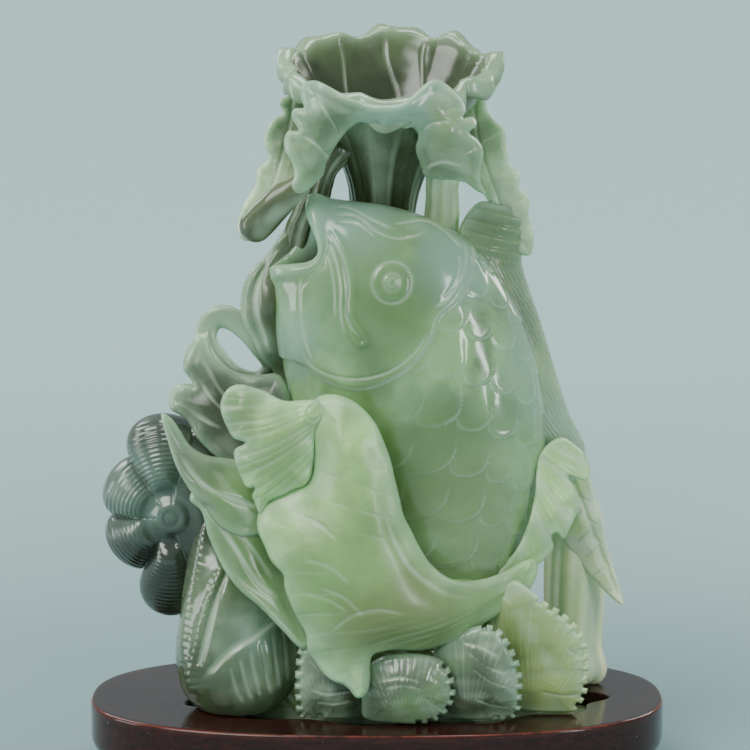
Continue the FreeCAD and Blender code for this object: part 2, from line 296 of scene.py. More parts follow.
def carved_sheet(outline, depth, thickness, relief, edge=3.0, pitch=1.5, frill=(0.0, 8.0, 6.0),
                 sharp=False, deep=None):
    """A leaf or fin seen from the front: its outline in (x, z), its depth y(x, z), and its thickness.

    Its edge is rounded over `edge`, and frill = (height, wavelength, reach) waves it to and fro. A sharp
    outline is used as given, and is cut off level where it would go below the lowest height.
    """
    rim = np.asarray(outline, float) if sharp else spline(outline, pitch, closed=True)
    if sharp:
        rim[:, 1] = np.maximum(rim[:, 1], LOWEST)
        rim = rim[np.linalg.norm(rim - np.roll(rim, 1, axis=0), axis=1) > 0.05]
    points, triangles, border = filled(rim, pitch)
    x, z = points.T
    gap, along = line_distance(x, z, np.vstack([rim, rim[:1]]))
    gap = np.where(border, 0.0, gap)
    swell = np.sqrt(1.0 - (1.0 - np.clip(gap / edge, 0.0, 1.0)) ** 2)
    middle = depth(x, z) + frill[0] * np.exp(-gap / frill[2]) * np.sin(TURN * along / frill[1])
    half = 0.5 * thickness * swell * (0.55 + 0.45 * smoothstep(0.0, 13.0, gap))
    raised = relief(x, z, gap) * swell
    front = np.stack([x, middle - half - raised, z], 1)
    back = np.stack([x, middle + half + raised, z], 1)
    place = np.cumsum(~border) - 1 + len(points)
    other = np.where(border, np.arange(len(points)), place)
    both = np.vstack([front, back[~border]])
    facing = np.vstack([triangles, other[triangles][:, ::-1]])
    # thin carries a painted glow on thin edges, deep a painted shade, and cut the frosted engraved lines.
    masks = {"thin": np.exp(-gap / 4.0), "cut": np.clip(-raised / 0.6, 0.0, 1.0),
             "deep": deep(x, z) if deep is not None else 0.0 * x}
    return both, facing, {name: np.concatenate([mask, mask[~border]]) for name, mask in masks.items()}


def merged(*parts):
    """Several skins as one."""
    points, triangles, start = [], [], 0
    for verts, faces, _ in parts:
        points.append(verts)
        triangles.append(faces + start)
        start += len(verts)
    masks = {name: np.concatenate([mask[name] for _, _, mask in parts]) for name in parts[0][2]}
    return np.vstack(points), np.vstack(triangles), masks


def add_piece(name, form, body, material, nodes, lift=True):
    """Makes one object from (points, triangles, masks) and ties it to the frame."""
    points, triangles, masks = form
    place = np.array(points, float)
    if lift:
        place[:, 2] += SEAT
    a, b, c = (place[triangles[:, k]] for k in range(3))
    if np.sum(a * np.cross(b, c)) < 0.0:
        triangles = triangles[:, ::-1]
    mesh = bpy.data.meshes.new(name)
    mesh.from_pydata((place * MM).tolist(), [], triangles.tolist())
    mesh.shade_smooth()
    for mask, values in masks.items():
        mesh.attributes.new(mask, "FLOAT", "POINT").data.foreach_set("value", np.asarray(values, float))
    mesh.materials.append(material)
    piece = bpy.data.objects.new(name, mesh)
    bpy.context.collection.objects.link(piece)
    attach(piece, body)
    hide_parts(*nodes)


def add_stone(name, form, slot, material, *nodes):
    """A carved feature of the stone."""
    add_piece(name, form, "carving", jade(material), nodes)


def add_leaf(name, slot, material, outline, handles, thickness, relief, **form):
    """A leaf or fin of the stone, which lies on a sheet bent over a few handles."""
    sheet = carved_sheet(outline, surface_through(handles), thickness, relief, **form)
    add_stone(name + "_carved", sheet, slot, material, name)


# ---------------------------------------------------------------------------------------------------------
# Node groups and materials
# ---------------------------------------------------------------------------------------------------------

def new_group(name, inputs, outputs):
    """An empty shader group, its inner input sockets and its inner output sockets.

    A socket is given as (name, type, default).
    """
    group = bpy.data.node_groups.new(name, "ShaderNodeTree")
    for way, sockets in (("INPUT", inputs), ("OUTPUT", outputs)):
        for label, kind, default in sockets:
            socket = group.interface.new_socket(label, in_out=way, socket_type="NodeSocket" + kind)
            if default is not None:
                socket.default_value = default
    return group, group.nodes.new("NodeGroupInput").outputs, group.nodes.new("NodeGroupOutput").inputs


def fill(tree, made, **values):
    """Sets a node's inputs, or joins them where the value is a socket. _0 is the first input, and so on."""
    for name, value in values.items():
        socket = made.inputs[int(name[1:])] if name[0] == "_" else made.inputs[name.replace("_", " ")]
        if isinstance(value, bpy.types.NodeSocket):
            tree.links.new(value, socket)
        else:
            socket.default_value = value
    return made


def node(tree, kind, settings=(), **values):
    """A node with its settings and its inputs."""
    made = tree.nodes.new(kind)
    for name, value in dict(settings).items():
        setattr(made, name, value)
    return fill(tree, made, **values)


def use_group(tree, group, **values):
    """A group placed in a material with its own values."""
    return node(tree, "ShaderNodeGroup", {"node_tree": group}, **values)


def mix(tree, factor, first, second):
    """A colour mix."""
    return node(tree, "ShaderNodeMix", {"data_type": "RGBA"}, _0=factor, _6=first, _7=second).outputs[2]


def band(tree, value, low, high, out_low=0.0, out_high=1.0):
    """value between low and high, stretched smoothly to another range."""
    return node(tree, "ShaderNodeMapRange", {"interpolation_type": "SMOOTHSTEP"}, Value=value,
                From_Min=low, From_Max=high, To_Min=out_low, To_Max=out_high).outputs[0]


def maths(tree, operation, *values, clamp=False):
    """A sum on numbers or sockets."""
    return node(tree, "ShaderNodeMath", {"operation": operation, "use_clamp": clamp},
                **{f"_{k}": value for k, value in enumerate(values)}).outputs[0]


def object_place(tree):
    """The place in the object, in metres."""
    return node(tree, "ShaderNodeTexCoord").outputs["Object"]


def noise(tree, place, scale, detail, **more):
    """Soft random values."""
    return node(tree, "ShaderNodeTexNoise", Vector=place, Scale=scale, Detail=detail, **more).outputs["Fac"]


def carried(tree, mask):
    """A mask that the mesh carries."""
    return node(tree, "ShaderNodeAttribute", {"attribute_name": mask}).outputs["Fac"]


def bumped(tree, height, strength, distance):
    """Normals that follow a height."""
    return node(tree, "ShaderNodeBump", Height=height, Strength=strength, Distance=distance).outputs[0]


def material_tree(name):
    """A new material, its tree and its shader."""
    material = bpy.data.materials.new(name)
    material.use_nodes = True
    return material, material.node_tree, material.node_tree.nodes["Principled BSDF"]


def rgb(colour, factor=1.0):
    """A colour, lightened or darkened, as a socket takes it."""
    return tuple(min(part * factor, 1.0) for part in colour[:3]) + (1.0,)


GREEN, PALE_GREEN = (0.5, 0.6, 0.4, 1.0), (0.7, 0.8, 0.6, 1.0)
COLOUR_OUT = [("Colour", "Color", None)]


def stone_cloud_group():
    """Cloudy mottling, drifting veins and small dark flecks in translucent stone."""
    if "Stone Clouds" in bpy.data.node_groups:
        return bpy.data.node_groups["Stone Clouds"]
    group, given, result = new_group("Stone Clouds", [
        ("Base", "Color", GREEN), ("Cloud", "Color", PALE_GREEN), ("Shade", "Color", (0.2, 0.3, 0.15, 1.0)),
        ("Size", "Float", 22.0), ("Amount", "Float", 0.6)], COLOUR_OUT)
    place = object_place(group)
    drift = node(group, "ShaderNodeTexNoise", Vector=place, Scale=14.0, Detail=3.0).outputs["Color"]
    moved = node(group, "ShaderNodeVectorMath", {"operation": "MULTIPLY_ADD"}, _0=drift,
                 _1=(0.03, 0.03, 0.03), _2=place).outputs[0]
    cloud = band(group, noise(group, moved, given["Size"], 6.0, Roughness=0.55), 0.44, 0.66)
    shade = band(group, noise(group, moved, 11.0, 4.0), 0.5, 0.68)
    fleck = band(group, noise(group, place, 420.0, 2.0), 0.66, 0.74, 0.0, 0.25)
    colour = mix(group, maths(group, "MULTIPLY", shade, given["Amount"]), given["Base"], given["Shade"])
    colour = mix(group, maths(group, "MULTIPLY", cloud, given["Amount"]), colour, given["Cloud"])
    group.links.new(mix(group, fleck, colour, given["Shade"]), result["Colour"])
    return group


def tint_group(title, mask):
    """Another colour where a carved piece carries a mask, broken up a little; it lays on the painted shade,
    the painted glow of thin edges, and the frost and painted highlights of cut lines.
    """
    if title in bpy.data.node_groups:
        return bpy.data.node_groups[title]
    group, given, result = new_group(title, [
        ("Colour", "Color", GREEN), ("Tint", "Color", PALE_GREEN), ("Strength", "Float", 0.8)], COLOUR_OUT)
    broken = band(group, noise(group, object_place(group), 60.0, 3.0), 0.3, 0.7, 0.65, 1.15)
    uneven = maths(group, "MULTIPLY", carried(group, mask), broken)
    amount = maths(group, "MULTIPLY", uneven, given["Strength"], clamp=True)
    group.links.new(mix(group, amount, given["Colour"], given["Tint"]), result["Colour"])
    return group


def patch_group():
    """A soft patch of another colour round a place in the stone; some patches are painted shade, and some
    painted light.
    """
    if "Colour Patch" in bpy.data.node_groups:
        return bpy.data.node_groups["Colour Patch"]
    group, given, result = new_group("Colour Patch", [
        ("Colour", "Color", GREEN), ("Patch Colour", "Color", PALE_GREEN), ("Centre", "Vector", (0, 0, 0)),
        ("Radius", "Float", 0.03), ("Strength", "Float", 0.8)], COLOUR_OUT)
    place = object_place(group)
    gap = node(group, "ShaderNodeVectorMath", {"operation": "DISTANCE"}, _0=place,
               _1=given["Centre"]).outputs["Value"]
    blur = band(group, noise(group, place, 28.0, 3.0), 0.3, 0.7, -0.25, 0.25)
    ragged = maths(group, "ADD", maths(group, "DIVIDE", gap, given["Radius"]), blur)
    amount = maths(group, "MULTIPLY", band(group, ragged, 0.25, 1.1, 1.0, 0.0), given["Strength"])
    group.links.new(mix(group, amount, given["Colour"], given["Patch Colour"]), result["Colour"])
    return group


def polish_group():
    """Fine unevenness left by hand polishing: a height and a roughness, rougher in cut lines."""
    if "Hand Polish" in bpy.data.node_groups:
        return bpy.data.node_groups["Hand Polish"]
    group, given, result = new_group(
        "Hand Polish", [("Roughness", "Float", 0.12), ("Spread", "Float", 0.08)],
        [("Height", "Float", None), ("Roughness", "Float", None)])
    place = object_place(group)
    smear = maths(group, "MULTIPLY", band(group, noise(group, place, 32.0, 5.0), 0.35, 0.7), given["Spread"])
    frosted = maths(group, "MULTIPLY_ADD", carried(group, "cut"), 0.25, smear)
    group.links.new(noise(group, place, 95.0, 3.0), result["Height"])
    group.links.new(maths(group, "ADD", frosted, given["Roughness"]), result["Roughness"])
    return group


def here(x, y, z):
    """A place in the stone, in metres, for a colour patch."""
    return (x * MM, y * MM, (z + SEAT) * MM)


# The block's colours, each as its main colour and the patches that run through it. A patch is its tint,
# centre, radius in metres and strength. The dark olive and near-black patches are painted shade, and some
# blue-grey patches are painted light.
JADES = {
    "jade_pale": ("pale", [
        ("mist", here(-18, -20, 226), 0.034, 0.85), ("smoky", here(-40, -20, 195), 0.020, 0.40),
        ("mist", here(78, 0, 165), 0.042, 0.85), ("mist", here(44, -30, 205), 0.034, 0.90),
        # Painted light: the blue-grey patch on the jaw stands for the reflection of the side softbox.
        ("mist", here(-40, -20, 170), 0.024, 0.80), ("deep_green", here(3, -34, 178), 0.036, 0.70),
        ("deep_green", here(10, -30, 120), 0.046, 0.75), ("amber", here(34, -30, 94), 0.034, 0.40)]),
    "jade_apple": ("apple", [
        ("mist", here(-25, -55, 22), 0.035, 0.40), ("deep_green", here(-4, -60, 74), 0.038, 0.55),
        ("amber", here(16, -60, 44), 0.038, 0.80), ("deep_green", here(44, -50, 52), 0.030, 0.35)]),
    "jade_honey": ("honey", [("deep_green", here(60, -36, 40), 0.030, 0.35)]),
    "jade_straw": ("straw", [("apple", here(94, 20, 40), 0.024, 0.30),
                             ("apple", here(96, 10, 88), 0.020, 0.30)]),
    "jade_beige": ("beige", [
        ("olive", here(44, 12, 256), 0.016, 0.45), ("olive", here(-36, 12, 262), 0.015, 0.40),
        ("olive", here(40, 8, 236), 0.012, 0.30)]),
    # Painted shade: the dark olive patches at the foot of the fans.
    "jade_shade": ("shade", [("moss", here(-10, -46, 8), 0.018, 0.7), ("moss", here(44, -50, 6), 0.018, 0.7),
                             ("apple", here(30, -58, 36), 0.016, 0.3)]),
    "jade_shade_green": ("shade", [("apple", here(16, -58, 8), 0.020, 0.55)]),
    "jade_smoky": ("smoky", [
        # Painted shade: the near-black patch at the foot of the turban shell.
        ("soot", here(-98, -25, 50), 0.030, 0.8), ("mist", here(-106, -22, 98), 0.026, 0.30)]),
    "jade_dusk": ("dusk", [
        # Painted shade on the lobed leaf behind the fin and beside the stem; painted glow on the loop and the
        # pale left lobes.
        ("soot", here(-54, -10, 134), 0.034, 0.92), ("thin_edge", here(-68, 4, 168), 0.024, 0.6),
        ("thin_edge", here(-94, -4, 144), 0.014, 0.35), ("soot", here(-30, 0, 232), 0.016, 0.7)]),
    "jade_grey": ("grey", [
        # Painted shade: the dark olive patch at the foot of the large shell.
        ("moss", here(-78, -35, 12), 0.026, 0.6), ("mist", here(-54, -46, 46), 0.022, 0.4),
        ("smoky", here(-77, -14, 86), 0.040, 0.95)]),
    "jade_olive": ("olive", [
        # Painted shade inside the cup and on the column under it.
        ("soot", here(4, 8, 272), 0.040, 0.95), ("soot", here(4, -8, 240), 0.030, 0.95),
        ("pale", here(-26, -28, 262), 0.030, 0.4)]),
    "jade_olive_pale": ("olive_pale", [
        ("mist", here(-30, -28, 284), 0.018, 0.6), ("mist", here(28, -26, 286), 0.016, 0.6),
        # Painted shade: the dark olive patches on the flaps by the column.
        ("moss", here(31, -24, 247), 0.013, 0.75), ("moss", here(-22, -22, 246), 0.014, 0.65),
        # Painted light: the blue-grey patch on the front lobes of the rim, where they lie in shade.
        ("mist", here(8, -34, 271), 0.020, 0.9), ("olive", here(48, 0, 214), 0.020, 0.55),
        ("mist", here(88, 8, 120), 0.040, 0.50)]),
    "jade_leaf": ("leaf", [
        # Painted shade: the near-black patch on the curled leaf's lower layer, by the tail's edge.
        ("shade", here(-84, -40, 118), 0.030, 0.85), ("soot", here(-62, -36, 70), 0.020, 0.4),
        ("deep_green", here(-56, -38, 90), 0.036, 0.6)]),
}


# How much less glossy some features were left.
SATIN = {"jade_apple": 0.17, "jade_leaf": 0.08, "jade_straw": 0.12, "jade_beige": 0.10,
         "jade_olive_pale": 0.07,
         "jade_dusk": 0.10, "jade_honey": 0.10, "jade_olive": 0.06}


def jade(name):
    """Polished translucent jade in one of the block's colours."""
    title = "polished_" + name
    if title in bpy.data.materials:
        return bpy.data.materials[title]
    settings = bpy.context.scene.carp_stone
    main_colour, patches = JADES[name]
    base = getattr(settings, main_colour)
    material, tree, shader = material_tree(title)
    colour = use_group(tree, stone_cloud_group(), Base=rgb(base), Cloud=rgb(base, 1.5), Shade=rgb(base, 0.5),
                       Size=26.0, Amount=1.0).outputs[0]
    for tint, centre, radius, strength in patches:
        colour = use_group(tree, patch_group(), Colour=colour, Patch_Colour=rgb(getattr(settings, tint)),
                           Centre=centre, Radius=radius, Strength=strength).outputs[0]
    # Painted shade: dark olive where the deep mask marks hollows and recesses.
    for label, mask, tint, strength in (("Deep Shade", "deep", settings.moss, 1.0),
                                        # Painted glow: a milky colour where the thin mask marks thin edges.
                                        ("Thin Edge", "thin", settings.thin_edge, settings.edge_strength),
                                        # Frost in engraved lines, with a painted highlight on scale and gill
                                        # plate edges.
                                        ("Engraved Line", "cut", settings.frost_and_highlight, 0.75)):
        colour = use_group(tree, tint_group(label, mask), Colour=colour, Tint=rgb(tint),
                           Strength=strength).outputs[0]
    polish = use_group(tree, polish_group(), Roughness=settings.roughness + SATIN.get(name, 0.0), Spread=0.10)
    fill(tree, shader, Base_Color=colour, Roughness=polish.outputs["Roughness"], IOR=1.65,
         Normal=bumped(tree, polish.outputs["Height"], 0.10, 0.001), Subsurface_Weight=0.45,
         Subsurface_Radius=(0.8, 1.0, 0.65), Subsurface_Scale=settings.glow_depth * MM,
         Coat_Weight=0.08 if name in SATIN else 0.3, Coat_Roughness=0.05)
    return material


def lacquer():
    """Dark red-brown lacquer over wood, rubbed to red and gold along the top edge, with a painted highlight
    in the same band.
    """
    if "red_brown_lacquer" in bpy.data.materials:
        return bpy.data.materials["red_brown_lacquer"]
    settings = bpy.context.scene.carp_stand
    material, tree, shader = material_tree("red_brown_lacquer")
    place = object_place(tree)
    stretched = node(tree, "ShaderNodeMapping", Vector=place, Scale=(6.0, 60.0, 60.0)).outputs[0]
    grain = noise(tree, stretched, 9.0, 7.0, Roughness=0.6, Distortion=0.8)
    pores = band(tree, noise(tree, stretched, 42.0, 3.0), 0.6, 0.75, 0.0, 0.6)
    rub = band(tree, noise(tree, place, 160.0, 5.0), 0.36, 0.56, 0.25, 1.0)
    dust = band(tree, noise(tree, place, 900.0, 1.0), 0.77, 0.80, 0.0, 0.55)
    colour = mix(tree, band(tree, grain, 0.35, 0.7), rgb(settings.lacquer), rgb(settings.lacquer_light))
    colour = mix(tree, pores, colour, rgb(settings.lacquer, 0.4))
    # Worn lacquer with a painted highlight: a red band on the top edge's rounding.
    colour = mix(tree, maths(tree, "MULTIPLY", carried(tree, "worn"), rub), colour, rgb(settings.worn_edge_and_highlight))
    colour = mix(tree, dust, colour, (0.5, 0.45, 0.42, 1.0))
    polish = use_group(tree, polish_group(), Roughness=0.14, Spread=0.06)
    fill(tree, shader, Base_Color=colour, Roughness=polish.outputs["Roughness"],
         Normal=bumped(tree, grain, 0.05, 0.0006), Specular_IOR_Level=0.3, Coat_Weight=0.25,
         Coat_Roughness=0.03)
    return material


def plain_wood():
    """Unfinished dowel wood."""
    material, tree, shader = material_tree("bare_dowel_wood")
    stretched = node(tree, "ShaderNodeMapping", Vector=object_place(tree),
                     Scale=(300.0, 300.0, 20.0)).outputs[0]
    grain = noise(tree, stretched, 2.0, 5.0)
    colour = mix(tree, band(tree, grain, 0.35, 0.65), (0.40, 0.27, 0.15, 1.0), (0.56, 0.41, 0.25, 1.0))
    fill(tree, shader, Base_Color=colour, Normal=bumped(tree, grain, 0.3, 0.0004), Roughness=0.7)
    return material


def felt():
    """Matted green wool felt."""
    material, tree, shader = material_tree("green_wool_felt")
    fuzz = noise(tree, object_place(tree), 900.0, 5.0, Roughness=0.7)
    colour = mix(tree, band(tree, fuzz, 0.3, 0.7), (0.035, 0.09, 0.05, 1.0), (0.09, 0.19, 0.11, 1.0))
    fill(tree, shader, Base_Color=colour, Normal=bumped(tree, fuzz, 0.8, 0.0005), Roughness=0.95,
         Sheen_Weight=0.5)
    return material


# ---------------------------------------------------------------------------------------------------------
# Settings
# ---------------------------------------------------------------------------------------------------------

def colour_property(label, about, default):
    """A colour that a user can change."""
    return FloatVectorProperty(name=label, description=about, subtype="COLOR", size=3, min=0, max=1,
                               default=default)


class CarpStoneSettings(bpy.types.PropertyGroup):
    """Colours and finish of the stone, with its painted shade, painted glow and painted highlights."""
    pale: colour_property("Pale", "Grey-green jade of the carp", (0.228, 0.370, 0.166))
    apple: colour_property("Apple", "Apple green jade of the tail and fins", (0.320, 0.520, 0.180))
    honey: colour_property("Honey", "Yellow-green jade at the lower right", (0.470, 0.560, 0.200))
    straw: colour_property("Straw", "Thin yellow-green jade of the back leaf and the reeds",
                           (0.920, 1.000, 0.580))
    beige: colour_property("Beige", "Thin grey-beige jade of the rear leaf edges and the pale stem",
                           (0.530, 0.650, 0.400))
    smoky: colour_property("Smoky", "Dark grey-green jade of the turban shell", (0.070, 0.086, 0.062))
    shade: colour_property("Shade", "Grey-green jade of the fans near the foot", (0.100, 0.122, 0.072))
    dusk: colour_property("Dusk", "Dark jade of the leaves at the left", (0.088, 0.106, 0.048))
    grey: colour_property("Grey", "Grey-green jade of the large shell", (0.115, 0.160, 0.085))
    olive: colour_property("Olive", "Olive jade of the lotus leaf cup", (0.130, 0.180, 0.075))
    olive_pale: colour_property("Pale Olive", "Milky jade of the front leaf edges and the dorsal fin",
                                (0.215, 0.310, 0.140))
    amber: colour_property("Amber", "Warm olive in the carp's belly and the foot of the tail",
                           (0.215, 0.245, 0.080))
    leaf: colour_property("Leaf", "Jade of the curled leaf", (0.190, 0.300, 0.120))
    deep_green: colour_property("Deep Green", "Stronger green inside the thick stone", (0.115, 0.215, 0.060))
    # Blue-grey bloom of the stone, also laid on as painted light on the jaw and on the rim lobes in shade.
    mist: colour_property("Mist", "Blue-grey bloom in the stone", (0.270, 0.430, 0.340))
    # Painted shade: dark olive laid into hollows, recesses and places under other parts, where shade falls.
    moss: colour_property("Moss", "Dark olive in the hollows", (0.035, 0.045, 0.012))
    # Painted shade: near-black, inside the cup and in the hollows behind and under other parts.
    soot: colour_property("Soot", "Near-black shade in the deepest cuts", (0.018, 0.022, 0.010))
    # Painted glow: a milky colour on edges carved thin, standing for light shining through them.
    thin_edge: colour_property("Thin Edge", "Milky colour of edges carved thin", (0.500, 0.720, 0.490))
    # Frost in the engraved lines, and a painted highlight along the scale edges and round the gill plate.
    frost_and_highlight: colour_property("Frost", "Frosted colour of engraved lines", (0.56, 0.68, 0.50))
    edge_strength: FloatProperty(name="Edge Strength", description="How milky thin edges turn", default=0.6,
                                 min=0, max=1)
    roughness: FloatProperty(name="Roughness", description="Roughness of the polished stone", default=0.13,
                             min=0, max=1)
    glow_depth: FloatProperty(name="Glow Depth", description="How far light spreads in the stone, in mm",
                              default=6.0, min=0, soft_max=30)


class CarpFormSettings(bpy.types.PropertyGroup):
    """Sizes of the carved scales and lines."""
    scale_width: FloatProperty(name="Scale Width", description="Width of one scale, in mm", default=13.0,
                               min=4)
    scale_length: FloatProperty(name="Scale Length", description="Length between rows of scales, in mm",
                                default=19.6, min=6)
    scale_height: FloatProperty(name="Scale Height", description="Step at a scale's free edge, in mm",
                                default=1.1, min=0)
    line_depth: FloatProperty(name="Line Depth", description="Depth of engraved lines, in mm", default=0.6,
                              min=0)
    line_width: FloatProperty(name="Line Width", description="Half width of engraved lines, in mm",
                              default=0.56,
                              min=0.2)


class CarpStandSettings(bpy.types.PropertyGroup):
    """Finish and shape of the stand."""
    lacquer: colour_property("Lacquer", "Dark lacquer", (0.022, 0.006, 0.006))
    lacquer_light: colour_property("Lacquer Light", "Lighter grain under the lacquer", (0.050, 0.012, 0.010))
    # Rubbed red along the top edge, with a painted highlight in the same band.
    worn_edge_and_highlight: colour_property("Worn Edge", "Rubbed red and gold along the top edge", (0.20, 0.040, 0.024))
    edge_round: FloatProperty(name="Edge Radius", description="Rounding of the slab's top edge, in mm",
                              default=1.6, min=0.3)
    lobes: IntProperty(name="Pocket Lobes", description="Scallops round the pocket", default=11, min=3)


class CarpStageSettings(bpy.types.PropertyGroup):
    """Camera, floor and light."""
    distance: FloatProperty(name="Camera Distance",
                            description="From the camera to the middle of the carving",
                            default=1.2, unit="LENGTH")
    elevation: FloatProperty(name="Camera Elevation", description="How far the camera looks down",
                             default=math.radians(9.0), unit="ROTATION")
    lens: FloatProperty(name="Lens", description="Focal length in mm", default=126.05)
    floor: colour_property("Floor", "Pale studio floor, far away", (0.76, 1.00, 1.00))
    # Painted shade: the floor is darker near the carving to offset the pool of light from the soft lights.
    floor_near_painted_shade: colour_property("Floor Near", "Pale studio floor, under the lights", (0.26, 0.37, 0.38))
    light: FloatProperty(name="Light", description="Power of the studio lights", default=1.0, min=0)


# ---------------------------------------------------------------------------------------------------------
# The carp
# ---------------------------------------------------------------------------------------------------------

# Sections of the carp, from deep in its throat, out over the lips, and back to the tail:
# centre x, centre z, half width, tilt of the width in degrees, centre y, half thickness.
CARP_SECTIONS = [
    (-17, 197, 2, 57, -4, 2), (-24, 202, 7, 58, -6, 6), (-33, 209, 12.5, 60, -8, 9),
    (-38.5, 214, 15.5, 61, -9, 11.5), (-40, 215, 17, 61, -9, 13), (-37.5, 213.2, 18.6, 61, -9, 14.5),
    (-31, 208, 26.2, 55.5, -8, 19), (-22, 200.5, 37, 50, -6, 24.5), (-9.5, 188.5, 48, 44, -3, 30.5),
    (1.5, 174, 55.7, 40, -1, 34), (11, 154, 60.8, 36, 0, 36), (19.5, 128, 61.3, 29, 0, 36),
    (25.5, 101, 56.5, 22, -2, 33), (31, 77, 46, 21, -6, 28), (38, 59, 32, 22, -11, 21),
    (46, 48, 18, 26, -17, 13), (50, 42, 7, 30, -20, 6)]
LIP_PULL = 15.5         # how far the near corner of the mouth is drawn back
GILL_STEP = 1.5         # how far the head stands above the scaled body
CARP_LINES = [
    [(-27, 221), (-21, 216), (-16, 208), (-13, 196), (-13, 181), (-7, 171)],
    [(-26, 217), (-20, 210), (-16.5, 196), (-16, 181), (-14, 172)],
    [(-25, 212), (-21, 204), (-19, 193), (-19, 180)],
    [(-21, 225), (-10, 225), (0, 218), (10, 215), (17, 216), (23, 218)],
    [(-24, 227), (-14, 228.5), (-2, 223), (7, 219)],
    [(-18, 222.5), (-9, 221.5), (-1, 216)],
    [(7, 221), (21, 222), (28, 219), (39, 209)],
    [(39, 212), (40, 206), (38, 198), (32, 189), (26, 185)],
    [(36.5, 208), (37, 203), (35, 196), (29, 188.5)],
    [(42, 211), (44, 202), (39, 190), (27, 180.5)],
    [(-34, 166), (-29, 158.5), (-18, 154), (-5, 154), (7, 158), (17, 166), (24, 176)],
    [(-35, 161), (-23, 152), (-8, 149), (7, 154), (20, 164.5), (26, 174)],
    [(-33, 202), (-34.5, 193), (-33.5, 175), (-28, 159)],
]
GILL_PLATE = [
    (-60, 240), (30, 232), (43, 212), (43, 200), (37, 189), (27, 180.5), (24, 172), (15, 159.5), (5, 153),
    (-8, 148.5), (-22, 151), (-34, 159), (-60, 162)]
EYE = (6.5, 196.5)
EYE_RINGS = ((9.0, 0.8), (3.9, 0.6), (1.9, 0.5))     # radius and depth of each ring cut round the eye
MOUTH_CORNER = (-40.5, 215.5)
SCALE_START = (38.0, 146.0)     # free end of one scale, which the rest are counted from


def overlapping_scales(x, z, width, length, height):
    """Scales, each a long U that opens towards the head: their height, and a painted highlight along their
    free edges.
    """
    across, down = np.array([width, -0.31 * width]), np.array([-0.066 * length, -length])
    turned = np.linalg.inv(np.array([across, down]))
    right, above = x - SCALE_START[0], z - SCALE_START[1]
    u = right * turned[0, 0] + above * turned[1, 0]
    v = right * turned[0, 1] + above * turned[1, 1]
    radius = 0.60 * width
    total, edge = np.zeros(x.shape), np.zeros(x.shape)
    for column in (-1, 0, 1, 2):
        for row in (0, 1, 2, 3):
            i, j = np.floor(u) + column, np.floor(v) + row
            up = above - i * across[1] - j * down[1]
            side = right - i * across[0] - j * down[0] - 0.10 * up
            gap = np.where(up < radius, radius - np.hypot(side, radius - up), radius - np.abs(side))
            soft = 1.2 * (1.0 + 4.0 * np.clip(up / length, 0.0, 1.0))
            tilt = np.clip(0.75 + 0.4 * side / radius, 0.4, 1.0)
            body = height * tilt * (1.0 - np.clip(up / (1.5 * length), 0.0,
                                                  1.0)) * smoothstep(-0.9, soft, gap)
            reach = smoothstep(0.75 * length, 0.15 * length, up) * (up > -1.0)
            body = np.where(up > -1.0, body + 0.2 * tilt * height * bell(gap, 1.4, 1.0) * reach, 0.0)
            # Painted highlight: a bright line along each scale's free edge.
            edge = np.where(body > total, 0.85 * tilt * bell(gap, 0.3, 0.7) * reach, edge)
            total = np.maximum(total, body)
    return total, edge


def carp_relief(x, z, flat_x, flat_z):
    """Everything cut into the carp's sides: gill plate, lines, eye and scales, and where it is frosted, with
    a painted highlight along the scale edges and the gill plate's edge.

    The flat coordinates are the side unrolled, so that scales keep their size towards the back and belly.
    """
    settings = bpy.context.scene.carp_form
    plate = spline(GILL_PLATE, 2.0, closed=True)
    gap, _ = line_distance(x, z, np.vstack([plate, plate[:1]]))
    within = np.where(inside(x, z, plate), gap, -gap)
    scales, edge = overlapping_scales(flat_x, flat_z, settings.scale_width, settings.scale_length,
                                      settings.scale_height)
    faint = (0.25 + 0.75 * smoothstep(0.0, 45.0, x)) * smoothstep(-30.0, 0.0, x) * smoothstep(38.0, 70.0, z)
    plated = smoothstep(-1.2, 0.8, within)
    total = scales * faint * (1.0 - plated) + GILL_STEP * plated
    # Painted highlight along the scales' free edges and round the gill plate; frost in the engraved lines and
    # eye rings.
    frost_and_highlight = np.maximum(edge * faint * (1.0 - plated), 0.8 * bell(within, 0, 0.9))
    for line in CARP_LINES:
        cut = groove(x, z, line, settings.line_width, settings.line_depth)
        total = total + cut
        frost_and_highlight = frost_and_highlight + np.clip(-1.5 * cut / settings.line_depth - 0.3, 0.0, 1.0)
    cheek, _ = line_distance(x, z, spline(CARP_LINES[0], 1.5))
    total = total + 0.9 * bell(cheek, 2.2, 1.4)
    ring = np.hypot(x - EYE[0], z - EYE[1])
    eye = 0.8 * bell(ring, 0, 9.0, 6) + 1.0 * bell(ring, 0, 3.4, 4)
    for radius, depth in EYE_RINGS:
        cut = depth * bell(ring, radius, 0.6)
        eye = eye - cut
        frost_and_highlight = frost_and_highlight + cut
    return total + eye, np.clip(frost_and_highlight, 0.0, 1.0)


